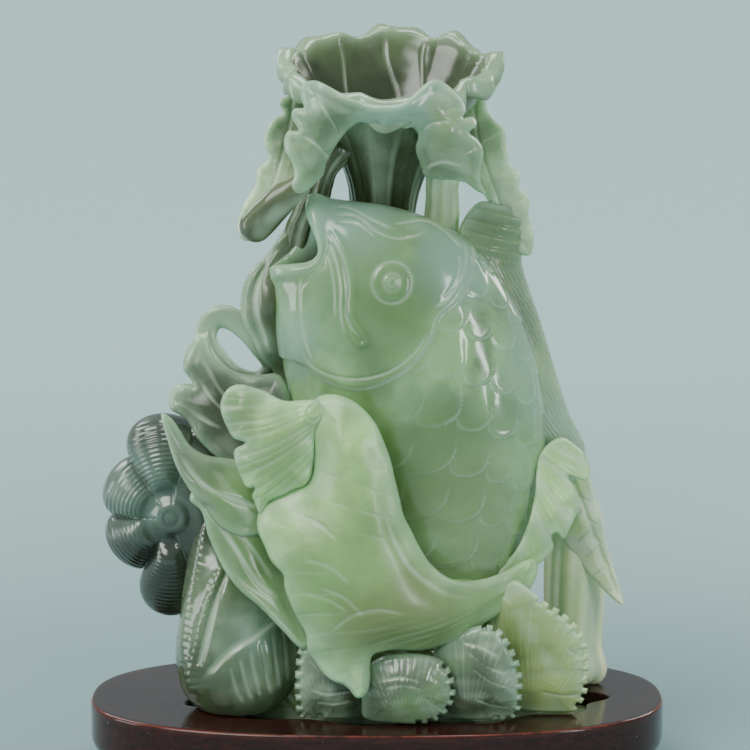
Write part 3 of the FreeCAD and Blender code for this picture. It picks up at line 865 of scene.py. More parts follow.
class OBJECT_OT_carp_body(bpy.types.Operator):
    """Carves the carp's head and body, with open mouth, gill plates, eyes and overlapping scales"""
    bl_idname = "object.carp_body"
    bl_label = "Carp Body"

    def execute(self, context):
        rings, sides = 330, 300
        path = spline([(x, y, z, a, b, tilt) for x, z, a, tilt, y, b in CARP_SECTIONS], count=rings)
        even = np.linspace(0.0, TURN, sides, endpoint=False)[None, :]
        turn = even + 0.22 * np.sin(2 * even)
        tilt = np.radians(path[:, 5])[:, None]
        across, half_b = path[:, 3][:, None], path[:, 4][:, None]
        reach = across * np.cos(turn)
        x = path[:, 0][:, None] + np.cos(tilt) * reach
        z = path[:, 2][:, None] + np.sin(tilt) * reach
        y = path[:, 1][:, None] + half_b * np.sin(turn)
        share = np.linspace(0.0, 1.0, rings)[:, None]
        crest = share[np.argmin(np.hypot(path[:, 0] - MOUTH_CORNER[0], path[:, 2] - MOUTH_CORNER[1]))]
        near = bell(share, crest, 0.055)
        pull = LIP_PULL * near * (np.clip(-np.sin(turn), 0, 1) ** 4 + 0.35 * np.clip(np.sin(turn), 0, 1) ** 2)
        beak = 3.2 * near * np.clip(np.cos(turn), 0, 1) ** 10
        x = x + 0.86 * pull + 0.3 * beak
        z = z - 0.50 * pull + 0.95 * beak
        grid = np.stack([x, y, z], -1)
        stretch = np.where(np.cos(turn) >= 0, 1.0, -1.0) * (1.0 - np.abs(np.sin(turn)) ** 1.15) ** 0.87
        unrolled = across * (0.5 * np.cos(turn) + 0.5 * stretch * 1.22)
        flat_x = path[:, 0][:, None] + np.cos(tilt) * unrolled
        flat_z = path[:, 2][:, None] + np.sin(tilt) * unrolled
        outside = smoothstep(crest + 0.03, crest + 0.07, share)
        height, frost_and_highlight = carp_relief(x, z, flat_x, flat_z)
        height = height * outside - GILL_STEP * outside
        height = height + 0.35 * wander(x, y, z, 30.0, 3) * outside
        height = height * smoothstep(0.0, 0.04, 1.0 - share)
        height = height + 1.7 * bell(share - crest, 0.014, 0.013)
        grid = grid + grid_normals(grid) * height[..., None]
        # Painted glow on the lips' rim, and a painted highlight along the edge of the back.
        rim = 0.45 * np.clip(np.cos(turn), 0.0, 1.0) ** 6 * smoothstep(crest + 0.15, crest + 0.4, share)
        thin = bell(share, crest, 0.022) + rim
        # Painted shade inside the throat.
        throat = smoothstep(crest - 0.01, crest - 0.09, share) * np.ones_like(turn)
        masks = {"thin": thin, "deep": throat, "cut": frost_and_highlight * outside}
        add_stone("carp_body_carved", skin(grid, masks), "jade_pale", "jade_pale", "carp_body", "carp_lips")
        return {"FINISHED"}


def rays(x, z, hub, pitch, depth, width=0.10, swirl=0.0, reach=(5.0, 60.0)):
    """Fine engraved rays that spread from a hub. pitch is the angle between two, in degrees."""
    r = np.hypot(x - hub[0], z - hub[1])
    angle = np.degrees(np.arctan2(z - hub[1], x - hub[0])) + swirl * r
    phase = (angle / pitch) % 1.0
    line = bell(np.minimum(phase, 1.0 - phase), 0, width)
    number = np.round(angle / pitch)
    uneven = 0.45 + 0.55 * np.sin(number * 2.4) ** 2
    fade = smoothstep(reach[0], 2.2 * reach[0], r) * smoothstep(reach[1], 0.7 * reach[1], r)
    return -depth * line * fade * uneven


def folds(x, z, hub, pitch, depth, swirl=0.0):
    """Soft rounded ribs that spread from a hub."""
    angle = np.degrees(np.arctan2(z - hub[1], x - hub[0])) + swirl * np.hypot(x - hub[0], z - hub[1])
    return depth * np.cos(TURN * angle / pitch)


TAIL_LINES = [
    [(3, 98), (8, 84), (18, 70), (30, 61), (42, 57)], [(6, 88), (14, 74), (26, 64), (38, 60)],
    [(-34, 96), (-26, 94), (-18, 88)], [(-32, 78), (-22, 76), (-12, 69)], [(-31, 62), (-22, 61), (-13, 56)],
    [(-24, 66), (-14, 62), (-6, 54)], [(-20, 46), (-11, 54), (0, 57), (12, 55)]]


class OBJECT_OT_carp_tail(bpy.types.Operator):
    """Carves the tail fin, swept round across the front of the body"""
    bl_idname = "object.carp_tail"
    bl_label = "Carp Tail"

    def execute(self, context):
        outline = [
            (-27, 146), (-24, 147.5), (-19, 148), (-14, 147), (-9, 144.5), (-4, 140), (0, 135), (3, 128),
            (6, 120), (8, 111.5), (10, 103), (12, 95), (15, 89), (19, 81), (24, 73), (31, 67), (39, 63.5),
            (50, 63.5), (59, 66), (66, 69.5), (71, 70), (73, 66), (72, 61), (68, 55), (61, 49.5), (53, 45.5),
            (43, 40.5), (35, 36.5), (27, 34), (19, 33), (10, 33.5), (3, 34.5), (-1.5, 34), (-3, 30), (-3, 23),
            (-4, 18), (-7, 15), (-10, 15.5), (-12, 18), (-15, 20), (-19, 21), (-24, 24), (-28, 29), (-31, 35),
            (-31.5, 41), (-35, 47.5), (-38, 55), (-41, 63), (-41.5, 69), (-47, 75), (-50, 81), (-53, 88),
            (-53, 94), (-51, 98), (-47, 101.5), (-42, 105), (-36, 107.5), (-30, 110), (-28, 114), (-28, 124),
            (-28, 134)]
        depth = surface_through([
            (-20, 148, -42), (2, 130, -48), (12, 97, -51), (27, 71, -49), (45, 62, -38), (66, 62, -28),
            (73, 68, -24), (-52, 95, -44), (-30, 111, -44), (-14, 124, -53), (-8, 100, -58), (-32, 84, -57),
            (0, 76, -62), (14, 58, -62), (-7, 17, -60), (-24, 26, -52), (-34, 46, -51), (-18, 42, -58),
            (-2, 40, -60), (12, 46, -60), (28, 46, -55), (40, 50, -46), (60, 52, -30), (28, 35, -46),
            (8, 34, -50)])

        def relief(x, z, gap):
            near_rim = smoothstep(30.0, 6.0, gap) * smoothstep(20.0, -5.0, x)
            low = smoothstep(58.0, 40.0, z) * smoothstep(-8.0, 6.0, x)
            total = rays(x, z, (84, 30), 5.2, 0.32, 0.05, -0.20, (30.0, 160.0)) * np.maximum(near_rim, 0.12)
            total = total + rays(x, z, (110, 62), 2.1, 0.5, 0.10, -0.05, (20.0, 160.0)) * low
            total = engraved(total, x, z, TAIL_LINES, 0.7, 0.3)
            rim = 0.4 * bell(gap, 2.6, 2.2)
            drip = 2.4 * bell(x, -8.0, 3.2) * bell(z, 22.0, 9.0)
            return total + rim + drip

        form = carved_sheet(outline, depth, 9.0, relief, edge=2.4, pitch=1.35, frill=(0.7, 19.0, 7.0))
        root = tube([(46, -8, 68, 10, 8), (58, -9, 60, 11, 9), (60, -14, 55, 10, 8), (50, -24, 50, 11, 7),
                     (34, -35, 50, 13, 6), (18, -43, 55, 14, 6)], 120, 96, (0.2, 0.3))
        add_stone("carp_tail_carved", merged(form, root), "jade_apple", "jade_apple",
                  "carp_tail_fin", "carp_tail_root")
        return {"FINISHED"}


class OBJECT_OT_carp_fins(bpy.types.Operator):
    """Carves the pectoral fin with its boss, the ridged dorsal fin and the lobed anal fin"""
    bl_idname = "object.carp_fins"
    bl_label = "Carp Fins"

    def execute(self, context):
        pectoral = [
            (-66, 150.5), (-60, 152.5), (-51, 150), (-40, 145.5), (-31, 146), (-25, 145.5), (-23, 141),
            (-26, 135), (-27.5, 126), (-28.5, 114), (-32, 108), (-38, 105.5), (-47, 101), (-52, 95),
            (-54, 99), (-55.5, 103), (-54, 107), (-57.5, 107), (-60, 111), (-62, 117), (-63, 123.5),
            (-58, 127.5), (-63.5, 129.5), (-67, 136), (-69, 144)]
        handles = [
            (-68, 146, -45), (-50, 150, -42), (-26, 144, -44), (-45, 130, -51), (-61, 124, -47),
            (-29, 118, -46), (-40, 110, -48), (-54, 100, -45)]

        root = (-6, 156)

        def veins(x, z, gap):
            boss = np.hypot(x + 28, z - 140.5)
            ringed = 1.3 * bell(boss, 0, 4.6, 4) - 0.7 * bell(boss, 3.0, 0.6)
            fine = rays(x, z, root, 3.6, 0.4, 0.10, 0.22, (16.0, 90.0))
            return fine + ringed + folds(x, z, root, 7.2, 0.08, 0.22)

        add_leaf("carp_pectoral_fin", "jade_apple", "jade_apple", pectoral, handles, 7.0, veins, edge=1.8,
                 pitch=1.2, frill=(0.9, 14.0, 5.0))

        dorsal = [
            (46, 228.5), (55, 228), (65, 224.5), (67.5, 214), (66.5, 201), (70, 188), (75, 174), (82, 151),
            (89, 130), (96.5, 113), (92, 100), (84, 92), (79, 104), (74, 128), (70, 151), (60, 176),
            (48, 196), (38, 209), (37, 216)]
        handles = [
            (47, 228, 6), (66, 222, 8), (40, 212, 2), (66, 195, 12), (55, 190, 0), (82, 150, 10),
            (72, 150, 2), (95, 113, 8), (80, 100, 2)]

        def ribs(x, z, gap):
            slope = smoothstep(212.0, 196.0, z)
            phase = ((z + 0.25 * (x - 50.0)) / 5.5) % 1.0
            ledge = smoothstep(0.0, 0.85, phase) - smoothstep(0.85, 1.0, phase)
            fine = np.cos(TURN * (z + 1.5 * (x - 66.0)) / 2.9)
            return (1.0 - slope) * 1.3 * ledge + 0.28 * slope * fine

        add_leaf("carp_dorsal_fin", "jade_pale", "jade_olive_pale", dorsal, handles, 8.0, ribs, edge=2.0,
                 pitch=1.3)

        anal = [
            (84, 122), (90, 119), (94.5, 115), (97.5, 108), (96, 103.5), (91.5, 104), (87, 105.5),
            (89.5, 101), (91.5, 95), (90.5, 89), (87, 81.5), (84.5, 77.5), (81.5, 81), (79, 80), (80, 74),
            (77, 70), (71, 65.5), (66, 62.5), (58, 56), (46, 49), (40, 54), (52, 62), (64, 76), (71, 96),
            (74, 116)]
        handles = [
            (88, 118, -6), (96, 106, -10), (89, 92, -17), (78, 72, -22), (50, 54, -24), (74, 112, -14),
            (66, 84, -25)]

        def streaks(x, z, gap):
            fine = rays(x, z, (52, 130), 3.4, 0.5, 0.11, 0.10, (18.0, 110.0))
            return fine + folds(x, z, (52, 130), 13.0, 0.3, 0.10)

        add_leaf("carp_anal_fin", "jade_apple", "jade_apple", anal, handles, 6.5, streaks, edge=1.8,
                 pitch=1.2,
                 frill=(0.8, 15.0, 5.0))
        return {"FINISHED"}


# ---------------------------------------------------------------------------------------------------------
# The lotus leaves at the top
# ---------------------------------------------------------------------------------------------------------

# Rings of the leaf cup and its column, from the foot up the outside, over the rolled rim, and down inside:
# centre x, centre y, height, half width, half depth, lean in degrees, ruffle, hang of the rolled lobes.
CUP_RINGS = [
    (6, 22, 3, 22, 12, 0, 0, 0), (4, 27, 60, 20, 12, 0, 0, 0), (2, 33, 112, 18, 11, 0, 0, 0),
    (1, 34, 150, 16, 11, 0, 0, 0), (1, 28, 186, 15, 11, 0, 0, 0), (2, 16, 218, 15, 11, 0, 0, 0),
    (3, 9, 236, 17, 12, 2, 0, 0), (4, 5, 252, 23, 16, 8, 0.3, 0), (5, 3, 264, 31, 22, 14, 0.6, 0),
    (5, 2, 275, 38.5, 28, 20, 1.0, 0), (5, 3, 284, 43, 33.5, 22, 1.6, 0), (5, 3, 286, 46, 36.5, 22, 2.2, 0.6),
    (5, 3, 288, 48.5, 39, 22, 2.8, 1.0), (5, 3, 291.5, 49, 39.5, 22, 3.0, 0.6),
    (5, 3, 294.5, 47.2, 38, 22, 3.0, 0), (5, 3, 294, 44.5, 35.2, 22, 2.0, 0),
    (5, 3, 289, 41.5, 32, 21, 0.9, 0), (5, 2, 280, 36, 26.5, 19, 0.3, 0), (5, 2, 270, 28, 19.5, 14, 0.1, 0),
    (5, 3, 261, 17, 11.5, 8, 0.2, 0), (5, 3, 256.5, 7, 5, 4, 0, 0)]
RUFFLES = 11
CUP_VEINS = ((62, 5), (86, 6), (126, -4), (205, 5), (335, 4))     # angle and sway of the veins inside


class OBJECT_OT_lotus_cup(bpy.types.Operator):
    """Carves the lotus leaf opened into a bowl, with its fluted column"""
    bl_idname = "object.lotus_cup"
    bl_label = "Lotus Leaf Cup"

    def execute(self, context):
        rings, sides = 330, 300
        path = spline(CUP_RINGS, count=rings)
        turn = np.linspace(0.0, TURN, sides, endpoint=False)[None, :]
        x0, y0, z0, half_x, half_y, lean, wave, hang = (path[:, k][:, None] for k in range(8))
        front = np.clip(-np.sin(turn), 0.0, 1.0)
        lobes = np.abs(np.sin(0.5 * RUFFLES * turn + 0.8)) ** 0.7
        swell = wave * (1.5 * lobes - 0.8 + 0.5 * np.sin(5 * turn + 1.0))
        slope = np.radians(lean)
        reach = (half_y + swell) * np.sin(turn)
        x = x0 + (half_x + swell) * np.cos(turn)
        rise = wave * (0.75 * np.sin(9 * turn + 0.4) + 0.45 * np.sin(16 * turn) - 0.9) * (1 - 0.5 * front)
        z = z0 + reach * np.sin(slope) + rise - hang * 4.5 * lobes * (0.35 + 0.65 * front ** 0.5)
        z = z - 1.44 * wave * front ** 6
        y = y0 + reach * np.cos(slope)
        grid = np.stack([x, y, z], -1)
        share = np.linspace(0.0, 1.0, rings)[:, None]
        crest = share[int(np.argmax(path[:, 3] + path[:, 2] * 0.2))]
        outer = smoothstep(crest, crest - 0.12, share)
        inner = smoothstep(crest + 0.01, crest + 0.03, share)
        cuts = 0.6 * np.abs(np.sin(8 * turn + 0.5 * np.sin(z / 18.0))) ** 9
        flutes = 0.6 * np.cos(5 * turn + z / 45.0) - cuts
        veins = 0.0
        for place, sway in CUP_VEINS:
            veins = veins - 0.6 * bell(np.degrees(turn) - place, sway * np.sin(z / 9.0), 1.1)
        height = flutes * outer * smoothstep(0.0, 0.05, share) + veins * inner
        height = height + 0.5 * wander(x, y, z, 26.0, 5)
        grid = grid + grid_normals(grid) * height[..., None]
        # Painted glow along the rolled rim; painted shade on the column under the rim and inside the bowl.
        thin = bell(share, crest, 0.013) * np.ones_like(turn)
        shade = smoothstep(272.0, 252.0, z) * smoothstep(crest, crest - 0.02, share)
        deep = np.maximum(0.95 * shade, 0.95 * smoothstep(crest + 0.004, crest + 0.035, share))
        cut = np.clip(-(flutes * outer + veins * inner) / 0.8, 0.0, 1.0) * 0.6
        form = skin(grid, {"thin": thin, "deep": deep, "cut": cut})
        add_stone("lotus_cup_carved", form, "jade_olive", "jade_olive", "leaf_cup", "lotus_column")
        return {"FINISHED"}


class OBJECT_OT_lotus_flaps(bpy.types.Operator):
    """Carves the lobed leaf edges that hang from the cup, front and back, and the rolled edge beside them"""
    bl_idname = "object.lotus_flaps"
    bl_label = "Lotus Leaf Flaps"

    def execute(self, context):
        def veined(*lines):
            def relief(x, z, gap):
                swell = 0.6 * wander(x, z, 0 * x, 24.0, 7) + 0.5 * bell(gap, 2.8, 2.0)
                return engraved(swell, x, z, lines, 0.7, 0.8)
            return relief

        # Painted shade on the flaps under the cup's rim, by the column.
        def under_rim(x, z):
            return 0.8 * bell(x, 2, 20.0) * bell(z, 246, 15.0)

        front = [
            (-33, 283), (-29.5, 285), (-26, 285), (-21.5, 283), (-16, 280), (-11, 277.5), (-5.5, 276),
            (0, 275), (6, 275), (11, 276), (16, 279.5), (20, 283), (24, 285.5), (27, 285.5), (30.5, 283.5),
            (34.5, 280), (38, 276), (39, 271.5), (37.5, 269), (42.5, 269), (44, 265.5), (40.5, 262.5),
            (44, 259.5), (46.5, 256), (47, 251), (45.5, 243), (46.5, 238.5), (49, 234), (44, 236),
            (39.5, 239.5), (33, 241), (27, 241), (21.5, 242), (19, 248), (17, 255), (18, 261), (15.5, 264.5),
            (11.5, 264), (9.5, 267), (7, 264.5), (2.5, 264.5), (0.5, 267.5), (-3, 266), (-7.5, 267),
            (-12, 264), (-15.5, 260), (-19, 255), (-22, 250), (-23.5, 244), (-27, 239.5), (-32, 235.5),
            (-37.5, 234), (-38, 239), (-36.5, 243.5), (-37.5, 249), (-40.5, 254.5), (-41, 259), (-39, 263),
            (-34.5, 263.5), (-36.5, 267), (-37.5, 270.5), (-36, 273), (-32, 273.5), (-33.5, 277.5)]
        depth = surface_through([
            (-32, 282, -27), (-38, 256, -27), (-36, 234, -22), (-26, 270, -33), (-26, 250, -28),
            (-20, 245, -19), (-13, 262, -25), (-8, 275, -34), (5, 274, -37), (5, 266, -33), (15, 277, -35),
            (27, 284, -28), (40, 272, -25), (46, 256, -24), (47, 234, -16), (32, 264, -32), (30, 246, -25),
            (20, 246, -18), (16, 262, -26)])
        veins = veined([(-27, 278), (-20, 268), (-15, 258)], [(-33, 262), (-26, 257), (-21, 250)],
                       [(17, 256), (22, 266), (33, 268)], [(22, 247), (29, 250), (38, 248)])
        form = carved_sheet(front, depth, 7.0, veins, edge=2.0, pitch=1.0, frill=(0.6, 13.0, 5.0),
                            deep=under_rim)
        add_stone("leaf_flaps_front_carved", form, "jade_olive", "jade_olive_pale", "leaf_flap_front_left",
                  "leaf_flap_front_right")

        back_left = [
            (-41, 295), (-44, 291), (-43.5, 284), (-40, 277.5), (-44.5, 274), (-43, 269), (-48, 265),
            (-51.5, 256), (-49, 249), (-54, 244), (-55, 237), (-60.5, 228), (-63.5, 216), (-59, 211),
            (-50, 219), (-40, 226), (-32, 236), (-28, 250), (-27, 262), (-33, 274), (-38, 286)]
        handles = [
            (-28, 302, 20), (-42, 284, 10), (-50, 258, 6), (-62, 216, 2), (-34, 230, 6), (-28, 262, 18),
            (-40, 250, 12)]
        add_leaf("leaf_flap_back_left", "jade_olive", "jade_beige", back_left, handles, 7.0,
                 veined([(-38, 280), (-40, 262), (-50, 228)]), edge=2.0, pitch=1.2, frill=(1.1, 14.0, 7.0))

        back_right = [
            (45, 292), (49, 288.5), (53.5, 286), (54.5, 280), (49.5, 275), (54, 265), (58, 261), (59, 254),
            (60.5, 246), (65, 242), (64.5, 236), (69, 231), (69, 222), (71.5, 213), (70, 204), (64, 205),
            (58, 214), (52, 226), (46, 236), (39, 248), (36, 262), (42, 276), (45, 284)]
        handles = [
            (30, 302, 20), (52, 284, 8), (58, 258, 8), (70, 210, 8), (50, 232, 10), (34, 264, 20),
            (46, 256, 14)]
        add_leaf("leaf_flap_back_right", "jade_olive", "jade_beige", back_right, handles, 7.0,
                 veined([(44, 280), (46, 258), (60, 216)]), edge=2.0, pitch=1.2, frill=(1.1, 14.0, 7.0))

        def rolled(u, turn, grid):
            return 0.6 * wander(*np.moveaxis(grid, -1, 0), 22.0, 4) - 0.5 * np.cos(2 * turn + 3.0 * u)

        form = tube([(-30, -17, 242, 5, 5), (-38, -19, 236, 6.5, 6), (-47, -20, 228, 7, 7),
                     (-54, -19, 220, 7, 6), (-59, -18, 215, 5.5, 5)], 160, 72, (0.15, 0.16), rolled)
        add_stone("rolled_leaf_edge_carved", form, "jade_olive", "jade_dusk", "rolled_leaf_edge")
        return {"FINISHED"}


class OBJECT_OT_lotus_stems(bpy.types.Operator):
    """Carves the stems that stand between the windows under the leaf cup"""
    bl_idname = "object.lotus_stems"
    bl_label = "Lotus Stems"

    def execute(self, context):
        def fibres(u, turn, grid):
            return 0.45 * np.cos(9 * turn + 2.0 * u) + 0.3 * wander(*np.moveaxis(grid, -1, 0), 14.0, 9)

        stems = {
            "mouth_stem": ("jade_dusk", [(-17, -6, 258, 10, 6), (-24, -2, 244, 6, 5), (-27, 2, 234, 6, 6),
                                         (-30, 5, 224, 8, 6), (-34, 8, 208, 9, 6), (-30, 12, 190, 8, 6)]),
            "pale_stem": ("jade_beige", [(30, -8, 262, 9, 5), (30, -1, 248, 8, 5), (29.5, 4, 236, 7.2, 5),
                                         (29.5, 9, 222, 7.8, 5), (28, 13, 204, 8, 5)])}
        for name, (material, stations) in stems.items():
            form = tube(stations, 140, 64, (0.05, 0.1), fibres)
            add_stone(name + "_carved", form, "jade_olive", material, name)
        return {"FINISHED"}


# ---------------------------------------------------------------------------------------------------------
# The left side
# ---------------------------------------------------------------------------------------------------------

class OBJECT_OT_left_leaves(bpy.types.Operator):
    """Carves the blade beside the jaw, the pierced loop and the lobed leaf under it"""
    bl_idname = "object.left_leaves"
    bl_label = "Left Leaves"

    def execute(self, context):
        blade = [
            (-36, 222), (-44, 214), (-50, 205), (-58, 197), (-62, 187), (-61.5, 176), (-57, 164), (-50, 152),
            (-44, 142), (-34, 140), (-32, 165), (-32, 195)]
        handles = [(-40, 216, 8), (-61, 186, 2), (-50, 185, -4), (-52, 160, 2), (-36, 150, 6), (-34, 190, 4)]

        def vein(x, z, gap):
            line = groove(x, z, [(-42, 212), (-52, 198), (-55, 182), (-50, 162)], 1.2, 1.0)
            return line + 0.9 * bell(gap, 2.5, 1.6)

        add_leaf("mouth_leaf", "jade_smoky", "jade_dusk", blade, handles, 8.0, vein, edge=2.0, pitch=1.1,
                 frill=(1.0, 20.0, 6.0))

        loop = spline([(-78, 166), (-77, 172.5), (-73, 176), (-67, 175.5), (-60.5, 171), (-54.5, 163),
                       (-49.5, 153), (-55, 148), (-64, 150), (-71, 156)], count=160, closed=True)
        sides = 48
        turn = np.linspace(0.0, TURN, sides, endpoint=False)
        way = unit(np.roll(loop, -1, axis=0) - np.roll(loop, 1, axis=0))
        outward = np.stack([way[:, 1], -way[:, 0]], 1)
        share = np.linspace(0.0, TURN, len(loop), endpoint=False)[:, None]
        wide = (4.2 + 1.2 * np.sin(share + 0.6)) * np.sign(np.cos(turn)) * np.abs(np.cos(turn)) ** 0.8
        through = 3.6 * np.sign(np.sin(turn)) * np.abs(np.sin(turn)) ** 0.7
        x, z = (loop[:, [k]] + outward[:, [k]] * wide for k in (0, 1))
        grid = np.stack([x, 4.0 + 1.5 * np.sin(2 * share) + through, z], -1)
        index = np.arange(len(loop) * sides).reshape(len(loop), sides)
        # Painted glow on the loop's thin edges.
        thin = np.broadcast_to(np.abs(np.cos(turn)) ** 3 * 0.8, index.shape).ravel()
        form = grid.reshape(-1, 3), strips(index, np.roll(index, -1, axis=0)), {"thin": thin}
        add_stone("leaf_loop_carved", form, "jade_smoky", "jade_dusk", "leaf_loop")

        lobed = [
            (-78, 176), (-77.5, 170), (-82, 169), (-85.5, 164), (-88, 158.5), (-88, 153), (-85.5, 149.5),
            (-84, 147), (-89, 147), (-93.5, 144), (-95, 139.5), (-94, 135.5), (-90, 133), (-86, 130),
            (-81, 122), (-73, 115), (-60, 108), (-44, 104), (-38, 124), (-40, 144), (-45, 151), (-52, 151),
            (-62.5, 151.5), (-70, 156), (-75, 163)]
        handles = [
            (-78, 170, 1), (-88, 156, -4), (-95, 140, -6), (-80, 140, -8), (-60, 134, -10), (-62, 110, -18),
            (-42, 140, -8), (-40, 112, -18), (-72, 156, -3)]
        veins = [[(-80, 160), (-72, 146), (-60, 134)], [(-83, 152), (-74, 140), (-64, 132)],
                 [(-92, 140), (-82, 134), (-70, 128)], [(-70, 152), (-62, 146), (-52, 142)]]

        def ripple(x, z, gap):
            swell = 0.3 * wander(x, z, 0 * x, 28.0, 12) + 0.4 * bell(gap, 2.8, 2.0)
            return engraved(swell, x, z, veins, 0.9, 0.35)

        # Painted shade on the middle of the lobed leaf, under the loop.
        def under_loop(x, z):
            return smoothstep(-86.0, -70.0, x) * smoothstep(160.0, 140.0, z)

        add_leaf("lobed_leaf", "jade_smoky", "jade_dusk", lobed, handles, 9.0, ripple, edge=2.4, pitch=1.2,
                 frill=(0.5, 15.0, 6.0), deep=under_loop)
        return {"FINISHED"}


class OBJECT_OT_curled_leaf(bpy.types.Operator):
    """Carves the pointed leaf, in two overlapping layers, that wraps the shells"""
    bl_idname = "object.curled_leaf"
    bl_label = "Curled Leaf"

    def execute(self, context):
        upper = [
            (-95.5, 139), (-91, 136), (-87, 130), (-83.5, 124.5), (-77, 120), (-63, 116.5), (-50, 112),
            (-44, 100), (-48, 86), (-60, 84), (-70, 89), (-77, 97), (-82, 104), (-88, 114), (-92.5, 126)]
        depth = surface_through([
            (-95, 138, -38), (-84, 124, -37), (-64, 114, -33), (-46, 104, -32), (-86, 116, -43),
            (-70, 104, -45), (-52, 90, -40), (-78, 98, -44)])

        def fold(x, z, gap):
            line = groove(x, z, [(-93, 132), (-86, 118), (-76, 108), (-60, 100), (-50, 96)], 1.0, 0.7)
            return line + 0.6 * bell(gap, 2.4, 1.8) + folds(x, z, (-98, 150), 12.0, 0.2)

        first = carved_sheet(upper, depth, 6.5, fold, edge=1.8, pitch=1.1)
        lower = [
            (-82, 104.5), (-79, 104), (-72, 101), (-60, 94), (-48, 88), (-41, 72), (-36, 56), (-31, 44),
            (-29, 36), (-33, 34), (-43, 44), (-52, 54), (-61, 62), (-69, 72.5), (-75, 85), (-78, 96),
            (-83, 101)]
        depth = surface_through([
            (-82, 102, -44), (-70, 98, -44), (-50, 86, -38), (-72, 82, -45), (-60, 74, -47), (-46, 60, -46),
            (-32, 38, -46), (-40, 66, -38)])

        def crease(x, z, gap):
            line = groove(x, z, [(-80, 101.5), (-74, 96), (-63, 80), (-52, 64), (-45, 58)], 0.9, 0.9)
            return line + groove(x, z, [(-66, 92), (-56, 80), (-47, 66)], 0.8,
                                 0.5) + 0.8 * bell(gap, 2.2, 1.5)

        second = carved_sheet(lower, depth, 7.0, crease, edge=1.8, pitch=1.1)
        add_stone("curled_leaf_carved", merged(first, second), "jade_pale", "jade_leaf", "curled_leaf")
        return {"FINISHED"}


# Lobes of the turban shell: angle of the crease before each lobe, radius at that crease, radius at its tip.
SHELL_LOBES = [(75, 39, 45), (129, 31, 34.5), (184, 27, 35), (242, 31, 50), (291, 37, 38)]
SHELL_BOSS = (-93.0, 88.0)


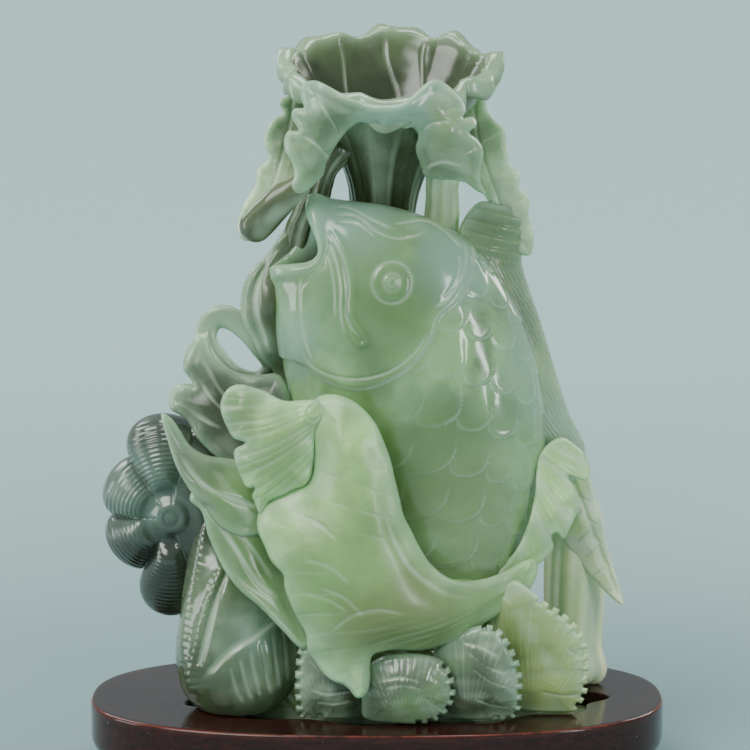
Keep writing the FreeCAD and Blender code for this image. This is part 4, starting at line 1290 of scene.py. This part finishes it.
class OBJECT_OT_shells(bpy.types.Operator):
    """Carves the ribbed turban shell and the large ribbed shell beside it"""
    bl_idname = "object.shells"
    bl_label = "Shells"

    def execute(self, context):
        sides, half_rings = 360, 90
        angle = np.linspace(SHELL_LOBES[0][0], SHELL_LOBES[0][0] + 360.0, sides, endpoint=False)
        radius, bulge = np.zeros(sides), np.zeros(sides)
        creases = SHELL_LOBES[1:] + [(SHELL_LOBES[0][0] + 360, SHELL_LOBES[0][1], 0)]
        for (start, crease, tip), (stop, next_crease, _) in zip(SHELL_LOBES, creases):
            part = (angle >= start) & (angle < stop)
            t = (angle[part] - start) / (stop - start)
            base = crease + (next_crease - crease) * t
            arch = np.sin(math.pi * t) ** 0.5
            radius[part] = base + (tip - base) * arch
            bulge[part] = arch
        out = np.sin(np.linspace(0.02, math.pi / 2, half_rings))
        out = np.concatenate([out, out[-2::-1]])[:, None]
        side = np.concatenate([-np.ones(half_rings), np.ones(half_rings - 1)])[:, None]
        r = out * radius[None]
        puff = np.sqrt(np.maximum(1.0 - out ** 2.6, 0.0))
        ribbed = (smoothstep(78.0, 86.0, angle) * smoothstep(288.0, 276.0, angle))[None]
        bulge = np.where(ribbed > 0.01, bulge, 0.55)
        away = smoothstep(10.0, 22.0, r)
        dip = 1.0 - 0.10 * ribbed * bell(r, 11.5, 3.0)
        thick = (12.0 + 12.0 * (0.7 + (0.25 + 0.75 * bulge - 0.7) * away)) * puff * dip
        boss = 1.4 * bell(r, 0, 7.4, 8) - 0.6 * bell(r, 3.2, 0.7)
        theta = np.radians(angle)[None]
        x = SHELL_BOSS[0] + r * np.cos(theta)
        z = SHELL_BOSS[1] + r * np.sin(theta)
        y = -2.0 + side * (thick + np.maximum(boss, -0.8) * (side < 0))
        grid = np.stack([x, y * np.ones_like(x), z], -1)
        ribs = 0.24 * np.cos(TURN * r / 2.0 - 4.0 * bulge) * smoothstep(13.0, 19.0, r)
        ribs = ribs * (0.35 + 0.65 * bulge) * smoothstep(1.0, 0.93, out) * ribbed
        grid = grid + grid_normals(grid) * (ribs * (0.4 + 0.6 * (side < 0)))[..., None]
        add_stone("lobed_shell_carved", skin(grid, {"thin": 0.0}), "jade_smoky", "jade_smoky", "lobed_shell")

        ridge_lines = [spline([(-76, 92), (-80, 74), (-84.5, 54), (-87, 36), (-86, 24), (-83, 14)], 1.5),
                       spline([(-70, 66), (-76, 51), (-80, 37), (-83, 22), (-82, 12)], 1.5)]
        growth = [[(-64 + 3.6 * k, 70 - 4.3 * k), (-56 + 3.4 * k, 57 - 4.2 * k),
                   (-47 + 2.8 * k, 47 - 4.1 * k)]
                  for k in range(3)]
        combs = [[(-66 + 4.6 * k, 26 + 3.4 * k), (-63 + 4.4 * k, 15 + 2.2 * k), (-60 + 4.0 * k, 8 + 1.2 * k)]
                 for k in range(7)]

        def shell_relief(u, turn, grid):
            x, z = grid[..., 0], grid[..., 2]
            facing = smoothstep(0.25, -0.15, np.sin(turn) + 0 * x)
            total = np.zeros(x.shape)
            for line in ridge_lines:
                gap, along = line_distance(x, z, line)
                notch = 0.5 + 0.5 * np.cos(TURN * along / 3.3)
                total = total + 1.3 * bell(gap, 0, 2.4) - 0.24 * notch ** 2 * bell(gap, 0, 2.8)
            mouth, _ = line_distance(x, z, spline([(-63, 74), (-71, 58), (-76, 40), (-80, 26)], 1.5))
            total = total - 1.3 * bell(mouth, 0, 1.3)
            total = total + groove(x, z, [(-77, 20), (-66, 32), (-51, 41), (-39, 50)], 1.6, 1.3)
            total = engraved(engraved(total, x, z, growth, 0.8, 0.6), x, z, combs, 0.8, 0.55)
            bands = 0.4 * np.cos(TURN * z / 5.2)
            return total * facing + bands * (1.0 - facing) + 0.5 * wander(x, grid[..., 1], z, 22.0, 15)

        conch = tube([(-78.5, -8, 96, 3.5, 4), (-77, -12, 82, 8, 9), (-73, -16, 66, 15, 15),
                      (-69, -18, 51, 21, 21),
                      (-65.5, -19, 36, 26.5, 25.5), (-63, -19, 20, 28.5, 27.5), (-61.5, -19, 9, 26, 25),
                      (-60.5, -18, 2.5, 19, 18), (-60, -17, 0.6, 12, 10)], 240, 240, (0.05, 0.0),
                     shell_relief)
        conch[0][:, 2] = np.maximum(conch[0][:, 2], LOWEST)
        add_stone("conch_shell_carved", conch, "jade_smoky", "jade_grey", "conch_shell")
        return {"FINISHED"}


# ---------------------------------------------------------------------------------------------------------
# The base and the right side
# ---------------------------------------------------------------------------------------------------------

TOOTH_PITCH, TOOTH_DEPTH, TOOTH_STEP = 5.6, 2.1, 0.42


def toothed_outline(points, first, last):
    """A closed outline with small square notches between two of its points."""
    rim = spline(points, TOOTH_STEP, closed=True)
    start, stop = (int(np.argmin(np.linalg.norm(rim - np.array(points[k]), axis=1))) for k in (first, last))
    run = np.arange(len(rim)) * TOOTH_STEP
    phase = ((run - run[start]) / TOOTH_PITCH) % 1.0
    notch = (run > run[start]) & (run < run[stop]) & (phase > 0.62)
    way = unit(np.roll(rim, -2, axis=0) - np.roll(rim, 2, axis=0))
    inward = np.stack([way[:, 1], -way[:, 0]], 1)
    if not inside(*(rim[:1] + 0.5 * inward[:1]).T, rim)[0]:
        inward = -inward
    return rim + inward * (TOOTH_DEPTH * notch)[:, None]


# Toothed fans: outline, the points where its teeth begin and end, front, slant, dome, material.
FANS = {
    "toothed_fan_left": (
        [(-26, 39), (-31, 38.5), (-34, 35.5), (-36, 30.5), (-36.5, 24), (-37, 16), (-36.5, 9), (-35.5, 1.5),
         (-21, 0.5), (-6, 0.5), (0, 6), (0, 18), (-10, 30), (-18, 38)], 1, 8, -47, -0.10, 3.0, "jade_shade"),
    "toothed_fan_front": (
        [(-6, 2), (-7, 10), (-7, 17.5), (-5, 25.5), (1, 31), (10, 33), (20, 33), (27, 31), (32, 27),
         (34.5, 21),
         (35, 15), (33.5, 9.5), (30, 4.5), (24.5, 1), (14.5, 0.5), (3.5, 0.5)], 7, 14, -57, 0.06, 5.0,
        "jade_shade_green"),
    "toothed_fan_middle": (
        [(22, 26), (27, 34), (36, 41), (43, 44), (50, 45), (55, 43), (60, 36), (63, 29.5), (65, 21.5),
         (65, 14.5),
         (64.5, 6.5), (61, 1), (50, 0.5), (36, 0.5), (24, 0.5), (19, 7), (19, 17.5)], 3, 12, -50, 0.16, 4.0,
        "jade_shade"),
    "toothed_fan_right": (
        [(54, 56), (62, 62), (70, 57), (76.5, 52.5), (82.5, 49), (88.5, 44), (93, 38), (95, 31), (95.5, 24),
         (95, 17.5), (95, 11), (93, 5.5), (88, 0.5), (75.5, 0.5), (62, 0.5), (52, 2.5), (48, 17.5), (49, 39)],
        2, 12, -38, 0.18, 4.0, "jade_honey"),
}
FAN_LINES = {
    "toothed_fan_left": [[(-32, 30), (-24, 24), (-16, 22)], [(-30, 16), (-22, 14), (-12, 15)],
                         [(-28, 10), (-20, 9), (-12, 10)]],
    "toothed_fan_front": [[(2, 22), (10, 24), (20, 22)], [(4, 19), (12, 20.5), (20, 19)],
                          [(24, 24), (28, 21), (31, 17)]],
    "toothed_fan_middle": [[(40, 34), (48, 28), (58, 24)], [(42, 27), (50, 21), (60, 17)],
                           [(44, 12), (52, 9), (60, 8)],
                           [(38, 38), (46, 36), (54, 32)]],
    "toothed_fan_right": [[(74, 12), (84, 10), (92, 10)], [(84, 34), (88, 30), (93, 28)]],
}


class OBJECT_OT_toothed_fans(bpy.types.Operator):
    """Carves the four upright fans with notched edges"""
    bl_idname = "object.toothed_fans"
    bl_label = "Toothed Fans"

    def execute(self, context):
        for name, (points, first, last, front, slant, dome, material) in FANS.items():
            low, high = np.min(points, axis=0), np.max(points, axis=0)
            middle, half = (low + high) / 2.0, (high - low) / 2.0

            def depth(x, z):
                share = np.hypot((x - middle[0]) / half[0], (z - middle[1]) / half[1])
                return front + dome * share ** 2 + slant * (middle[0] - x) - 0.06 * (z - middle[1])

            def relief(x, z, gap):
                swell = engraved(0.5 * wander(x, z, 0 * x, 17.0, int(half[0])), x, z, FAN_LINES[name], 0.6,
                                 0.35)
                return swell + rays(x, z, (middle[0], low[1] - 8.0), 4.4, 0.3, 0.08, 0.15, (10.0, 70.0))

            rim = toothed_outline(points, first, last)
            form = carved_sheet(rim, depth, 8.5, relief, edge=1.8, pitch=1.1, sharp=True,
                                frill=(0.3, 19.0, 6.0))
            slot = "jade_olive" if name.endswith("left") else "jade_apple"
            add_stone(name + "_carved", form, slot, material, name)
        return {"FINISHED"}


class OBJECT_OT_right_leaves(bpy.types.Operator):
    """Carves the veined back leaf and the bundle of reeds at the right"""
    bl_idname = "object.right_leaves"
    bl_label = "Right Leaves"

    def execute(self, context):
        leaf = [
            (114.5, 41), (112, 52), (109, 62), (104, 81), (99, 100), (92, 116), (84, 118), (80, 100),
            (84, 78), (92, 62), (101, 52), (107, 46)]
        handles = [(114, 42, 4), (106, 74, 8), (94, 112, 12), (82, 105, 14), (90, 68, 12), (98, 80, 2)]

        def veins(x, z, gap):
            total = groove(x, z, [(84, 116), (94, 92), (104, 66), (113, 44)], 1.0, 1.0)
            for k in range(6):
                pair = ([(88 + 4 * k, 104 - 10 * k), (94 + 3.6 * k, 102 - 11 * k)],
                        [(90 + 4 * k, 98 - 10 * k), (85 + 3.8 * k, 86 - 8 * k)])
                total = engraved(total, x, z, pair, 0.7, 0.6)
            return total

        add_leaf("back_leaf", "jade_pale", "jade_straw", leaf, handles, 7.0, veins, edge=1.8, pitch=1.1,
                 frill=(0.8, 16.0, 5.0))

        def reed_ribs(u, turn, grid):
            return 1.3 * np.cos(4 * turn) + 0.4 * np.cos(11 * turn + 4 * u)

        reeds = tube([(92, 20, 92, 10, 7), (93, 20, 62, 13, 8), (93, 19, 40, 13, 8), (93, 18, 18, 12, 8),
                      (94, 16, 4, 13, 9), (94, 16, 0.6, 9, 6)], 120, 120, (0.1, 0.0), reed_ribs)
        reeds[0][:, 2] = np.maximum(reeds[0][:, 2], LOWEST)
        add_stone("reed_bundle_carved", reeds, "jade_olive", "jade_straw", "reed_bundle")
        return {"FINISHED"}


# Height of the seated foot's rings, from its underside up, and their gap to the pocket's wall.
SEATED_RINGS = ((-11.6, 9.0), (-11.0, 7.0), (-8.0, 6.0), (-6.2, 6.6), (-5.4, 9.0), (-5.0, 14.0), (-5.0, 30.0))


class OBJECT_OT_rock_mound(bpy.types.Operator):
    """Carves the mound that the shells and fans grow from, and finishes the foot seated in the stand"""
    bl_idname = "object.rock_mound"
    bl_label = "Rock Mound"

    def execute(self, context):
        def rocks(u, turn, grid):
            x, y, z = grid[..., 0], grid[..., 1], grid[..., 2]
            lumps = 3.0 * wander(x, y, z, 34.0, 21) + 1.2 * np.abs(wander(x, y, z, 13.0, 22))
            return lumps * smoothstep(0.0, 0.12, u) - 1.0

        mound = tube([(6, -5, -6, 76, 29), (6, -5, 7, 77, 31), (8, 0, 20, 64, 27), (14, 3, 36, 44, 20),
                      (18, 4, 50, 26, 12)], 110, 280, (0.0, 0.25), rocks)
        add_stone("rock_mound_carved", mound, "jade_olive", "jade_olive", "rock_mound")
        turn = np.linspace(0.0, TURN, 360, endpoint=False)
        rings = [at_height(pocket_outline(turn, context.scene.carp_stand.lobes, -gap), height)
                 for height, gap in SEATED_RINGS]
        # Painted shade over the foot, which sits in the pocket's recess.
        add_stone("seated_foot_carved", skin(np.stack(rings), {"deep": 0.5}), "jade_olive", "jade_olive",
                  "seated_foot")
        return {"FINISHED"}


# ---------------------------------------------------------------------------------------------------------
# The stand
# ---------------------------------------------------------------------------------------------------------

STAND_CORNER = 2.5          # exponent of the rounded outline
POCKET_CENTRE = (8.0, -6.0)
POCKET_HALF = (96.0, 43.0)
POCKET_SCALLOP = 3.5
POCKET_DEPTH = 12.0
POCKET_LIP = 0.8            # rounding of the pocket's top edge
UNDER_CURVE = 8.0           # rounding of the slab's lower edge


def at_height(flat, height):
    """A flat outline as a ring of points at one height."""
    return np.hstack([flat, np.full((len(flat), 1), height)])


def stand_outline(turn, inset=0.0):
    """The stand's rounded oval."""
    c, s = np.cos(turn), np.sin(turn)
    x = (STAND_HALF[0] - inset) * np.sign(c) * np.abs(c) ** (2.0 / STAND_CORNER)
    y = (STAND_HALF[1] - inset) * np.sign(s) * np.abs(s) ** (2.0 / STAND_CORNER)
    return np.stack([x, y], -1)


def pocket_outline(turn, lobes, grow=0.0):
    """The scalloped pocket."""
    swell = POCKET_SCALLOP * np.cos(lobes * turn) + grow
    return np.stack([POCKET_CENTRE[0] + (POCKET_HALF[0] + swell) * np.cos(turn),
                     POCKET_CENTRE[1] + (POCKET_HALF[1] + swell) * np.sin(turn)], -1)


class OBJECT_OT_stand_slab(bpy.types.Operator):
    """Makes the lacquered slab with its scalloped pocket, rounded top edge and curved underside"""
    bl_idname = "object.stand_slab"
    bl_label = "Stand Slab"

    def execute(self, context):
        settings = context.scene.carp_stand
        turn = np.linspace(0.0, TURN, 720, endpoint=False)
        pocket = pocket_outline(turn, settings.lobes)
        oval = stand_outline(turn)
        middle = np.array(POCKET_CENTRE)
        r = settings.edge_round
        rings, worn = [], []

        def ring(flat, height, mark=0.0):
            rings.append(at_height(flat, height))
            worn.append(mark)

        for share in (0.05, 0.3, 0.6, 0.85, 0.97):
            ring(middle + (pocket - middle) * share, -POCKET_DEPTH)
        ring(pocket, -POCKET_DEPTH + 0.4)
        for k in range(1, 10):
            ring(pocket, -POCKET_DEPTH + 0.4 + (POCKET_DEPTH - 0.4 - POCKET_LIP) * k / 9.0)
        for k in range(1, 7):
            a = math.pi / 2 * k / 6
            ring(pocket_outline(turn, settings.lobes, POCKET_LIP * (1 - math.cos(a))),
                 -POCKET_LIP + POCKET_LIP * math.sin(a))
        lip = pocket_outline(turn, settings.lobes, POCKET_LIP)
        edge = stand_outline(turn, r)
        for k in range(1, 16):
            ring(lip + (edge - lip) * (k / 15.0), 0.0)
        # The top edge's rounding, with a band of worn lacquer and painted highlight in its middle.
        for k in range(1, 9):
            a = math.pi / 2 * k / 8
            ring(stand_outline(turn, r * (1 - math.sin(a))), -r * (1 - math.cos(a)),
                 1.0 if 2 < k < 5 else 0.15)
        thickness = SEAT - SLAB_LOW
        for k in range(1, 9):
            ring(oval, -r - (thickness - UNDER_CURVE - r) * k / 8.0)
        for k in range(1, 10):
            a = math.pi / 2 * k / 9
            ring(stand_outline(turn, UNDER_CURVE * (1 - math.cos(a))),
                 -thickness + UNDER_CURVE * (1 - math.sin(a)))
        under = stand_outline(turn, UNDER_CURVE)
        for share in (0.9, 0.6, 0.3, 0.05):
            ring(under * share, -thickness)
        form = skin(np.stack(rings), {"worn": np.array(worn)[:, None]})
        add_piece("stand_slab_lacquered", form, "stand", lacquer(), ["stand_slab"])
        return {"FINISHED"}


# Profiles from the underside up, as shares of the half width and of the height.
FOOT_PROFILE = [
    (0.76, 0.0), (0.82, 0.03), (0.95, 0.22), (1.0, 0.45), (0.97, 0.62), (0.86, 0.78), (0.83, 0.82),
    (0.86, 0.86), (0.78, 0.93), (0.72, 0.97), (0.70, 1.0)]
PAD_PROFILE = [
    (0.02, 0.0), (0.9, 0.0), (0.985, 0.12), (1.0, 0.3), (1.0, 0.7), (0.985, 0.9), (0.9, 1.0), (0.02, 1.0)]


def turned_form(name, path, fuzz=0.0):
    """A round form with the place and size of a named part, and a slightly frayed edge."""
    low, high = (np.array(corner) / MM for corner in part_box(name))
    centre, half = (low + high) / 2.0, (high - low) / 2.0
    turn = np.linspace(0.0, TURN, 84, endpoint=False)
    path = np.vstack([[0.02, 0.0], path, [0.02, 1.0]])
    radius = half[0] * path[:, 0][:, None]
    frayed = 1.0 - fuzz * np.abs(np.sin(17 * turn + 2 * np.sin(9 * turn)))
    height = low[2] + 2 * half[2] * np.clip(path[:, 1], 0, 1)[:, None] + 0 * turn
    return skin(np.stack([centre[0] + radius * np.cos(turn) * frayed,
                          centre[1] + radius * np.sin(turn) * frayed, height], -1), {"worn": 0.0})


class OBJECT_OT_stand_feet(bpy.types.Operator):
    """Makes the turned feet and the felt pads, and gives the dowels bare wood"""
    bl_idname = "object.stand_feet"
    bl_label = "Stand Feet"

    def execute(self, context):
        wool = felt()
        foot_path = spline([(across, 0.0, up) for across, up in FOOT_PROFILE], count=70)[:, [0, 2]]
        for name in sorted(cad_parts):
            if name.startswith("felt_pad"):
                form = turned_form(name, np.array(PAD_PROFILE), 0.012)
                add_piece(name + "_cut", form, "stand", wool, [name], lift=False)
            elif name.startswith(("foot_front", "foot_back")):
                form = turned_form(name, foot_path)
                add_piece(name + "_turned", form, "stand", lacquer(), [name], lift=False)
        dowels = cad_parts["foot_dowels"].data
        dowels.materials.clear()
        dowels.materials.append(plain_wood())
        return {"FINISHED"}


# ---------------------------------------------------------------------------------------------------------
# The stage
# ---------------------------------------------------------------------------------------------------------

FLOOR_HALF = 60.0
SKY, SKY_STRENGTH = (0.74, 0.95, 0.98, 1.0), 0.46
KEY_POWER, KEY_SPREAD, KEY_COLOUR, KEY_WAY = 1.65, math.radians(34.0), (0.98, 1.0, 0.95), (0.55, 0.62, -1.0)
TARGET = Vector((-0.0009, 0.0, 0.150 + SEAT * MM))
# Soft lights: name, place, size, power, colour.
SOFT_LIGHTS = (
    ("front_left", (-0.55, -0.65, 0.80), (0.60, 0.50), 1.3, (1.0, 1.0, 0.98)),
    ("side_left", (-0.90, -0.14, 0.30), (0.34, 0.50), 2.2, (0.95, 1.0, 1.0)),
    ("front_right", (0.62, -0.55, 0.42), (0.08, 0.42), 1.8, (0.95, 1.0, 1.0)),
    ("top", (0.0, 0.05, 0.90), (0.30, 0.20), 1.8, (1.0, 1.0, 1.0)),
    ("back_left", (-0.50, 0.45, 0.62), (0.26, 0.30), 1.3, (0.97, 1.0, 1.0)),
    ("back_right", (0.55, 0.45, 0.55), (0.26, 0.30), 1.8, (1.0, 1.0, 0.92)))


def area_light(name, place, size, power, colour):
    """A soft light aimed at the middle of the carving."""
    data = bpy.data.lights.new(name, "AREA")
    data.shape = "RECTANGLE"
    data.size, data.size_y = size
    data.energy = power
    data.color = colour
    light = bpy.data.objects.new(name, data)
    light.location = place
    light.rotation_euler = (TARGET - Vector(place)).to_track_quat("-Z", "Y").to_euler()
    bpy.context.collection.objects.link(light)


class OBJECT_OT_studio(bpy.types.Operator):
    """Sets the pale floor, the soft lights and the camera"""
    bl_idname = "object.studio"
    bl_label = "Studio"

    def execute(self, context):
        settings = context.scene.carp_stage
        mesh = bpy.data.meshes.new("floor")
        corners = [(FLOOR_HALF * x, FLOOR_HALF * y, 0) for x, y in ((-1, -1), (1, -1), (1, 1), (-1, 1))]
        mesh.from_pydata(corners, [], [(0, 1, 2, 3)])
        material, tree, shader = material_tree("pale_floor")
        place = object_place(tree)
        tone = noise(tree, place, 1.5, 3.0)
        reach = node(tree, "ShaderNodeVectorMath", {"operation": "LENGTH"}, _0=place).outputs["Value"]
        # Painted shade: the floor darkens towards the carving, offsetting the pool of light from the soft
        # lights.
        colour = mix(tree, band(tree, reach, 0.1, 1.5), rgb(settings.floor_near_painted_shade), rgb(settings.floor))
        colour = mix(tree, band(tree, tone, 0.3, 0.7, 0.0, 0.04), colour, rgb(settings.floor, 1.15))
        fill(tree, shader, Base_Color=colour, Roughness=0.9, Specular_IOR_Level=0.0)
        mesh.materials.append(material)
        floor = bpy.data.objects.new("floor", mesh)
        context.collection.objects.link(floor)

        world = bpy.data.worlds.new("studio")
        world.use_nodes = True
        fill(world.node_tree, world.node_tree.nodes["Background"], Color=SKY,
             Strength=SKY_STRENGTH * settings.light)
        context.scene.world = world

        data = bpy.data.lights.new("key", "SUN")
        data.energy, data.angle, data.color = KEY_POWER * settings.light, KEY_SPREAD, KEY_COLOUR
        key = bpy.data.objects.new("key", data)
        key.rotation_euler = Vector(KEY_WAY).to_track_quat("-Z", "Y").to_euler()
        context.collection.objects.link(key)
        for name, place, size, power, colour in SOFT_LIGHTS:
            area_light(name, place, size, power * settings.light, colour)

        data = bpy.data.cameras.new("camera")
        data.lens = settings.lens
        data.sensor_width = 36.0
        data.clip_end = 200.0
        camera = bpy.data.objects.new("camera", data)
        back = Vector((0.0, -math.cos(settings.elevation), math.sin(settings.elevation)))
        camera.location = TARGET + back * settings.distance
        camera.rotation_euler = (TARGET - camera.location).to_track_quat("-Z", "Y").to_euler()
        context.collection.objects.link(camera)
        context.scene.camera = camera
        return {"FINISHED"}


class VIEW3D_PT_jade_carp(bpy.types.Panel):
    """Lists the steps and their settings in the sidebar"""
    bl_label = "Jade Carp"
    bl_space_type = "VIEW_3D"
    bl_region_type = "UI"
    bl_category = "Jade Carp"

    def draw(self, context):
        for operator in OPERATORS:
            self.layout.operator(operator.bl_idname)
        for group in ("carp_stone", "carp_form", "carp_stand", "carp_stage"):
            settings = getattr(context.scene, group)
            box = self.layout.box()
            for name in settings.bl_rna.properties.keys():
                if name not in ("rna_type", "name"):
                    box.prop(settings, name)


OPERATORS = (
    OBJECT_OT_studio, OBJECT_OT_carp_body, OBJECT_OT_carp_tail, OBJECT_OT_carp_fins, OBJECT_OT_lotus_cup,
    OBJECT_OT_lotus_flaps, OBJECT_OT_lotus_stems, OBJECT_OT_left_leaves, OBJECT_OT_curled_leaf,
    OBJECT_OT_shells, OBJECT_OT_toothed_fans, OBJECT_OT_right_leaves, OBJECT_OT_rock_mound,
    OBJECT_OT_stand_slab, OBJECT_OT_stand_feet)
SETTINGS = (
    ("carp_stone", CarpStoneSettings), ("carp_form", CarpFormSettings), ("carp_stand", CarpStandSettings),
    ("carp_stage", CarpStageSettings))


def register():
    """Adds the settings, the steps and the panel."""
    for name, group in SETTINGS:
        bpy.utils.register_class(group)
        setattr(bpy.types.Scene, name, PointerProperty(type=group))
    for operator in OPERATORS:
        bpy.utils.register_class(operator)
    bpy.utils.register_class(VIEW3D_PT_jade_carp)


def unregister():
    """Takes them away again."""
    bpy.utils.unregister_class(VIEW3D_PT_jade_carp)
    for operator in reversed(OPERATORS):
        bpy.utils.unregister_class(operator)
    for name, group in reversed(SETTINGS):
        delattr(bpy.types.Scene, name)
        bpy.utils.unregister_class(group)


def main():
    """Builds everything."""
    register()
    for operator in OPERATORS:
        area, name = operator.bl_idname.split(".")
        getattr(getattr(bpy.ops, area), name)()


if __name__ == "__main__":
    main()
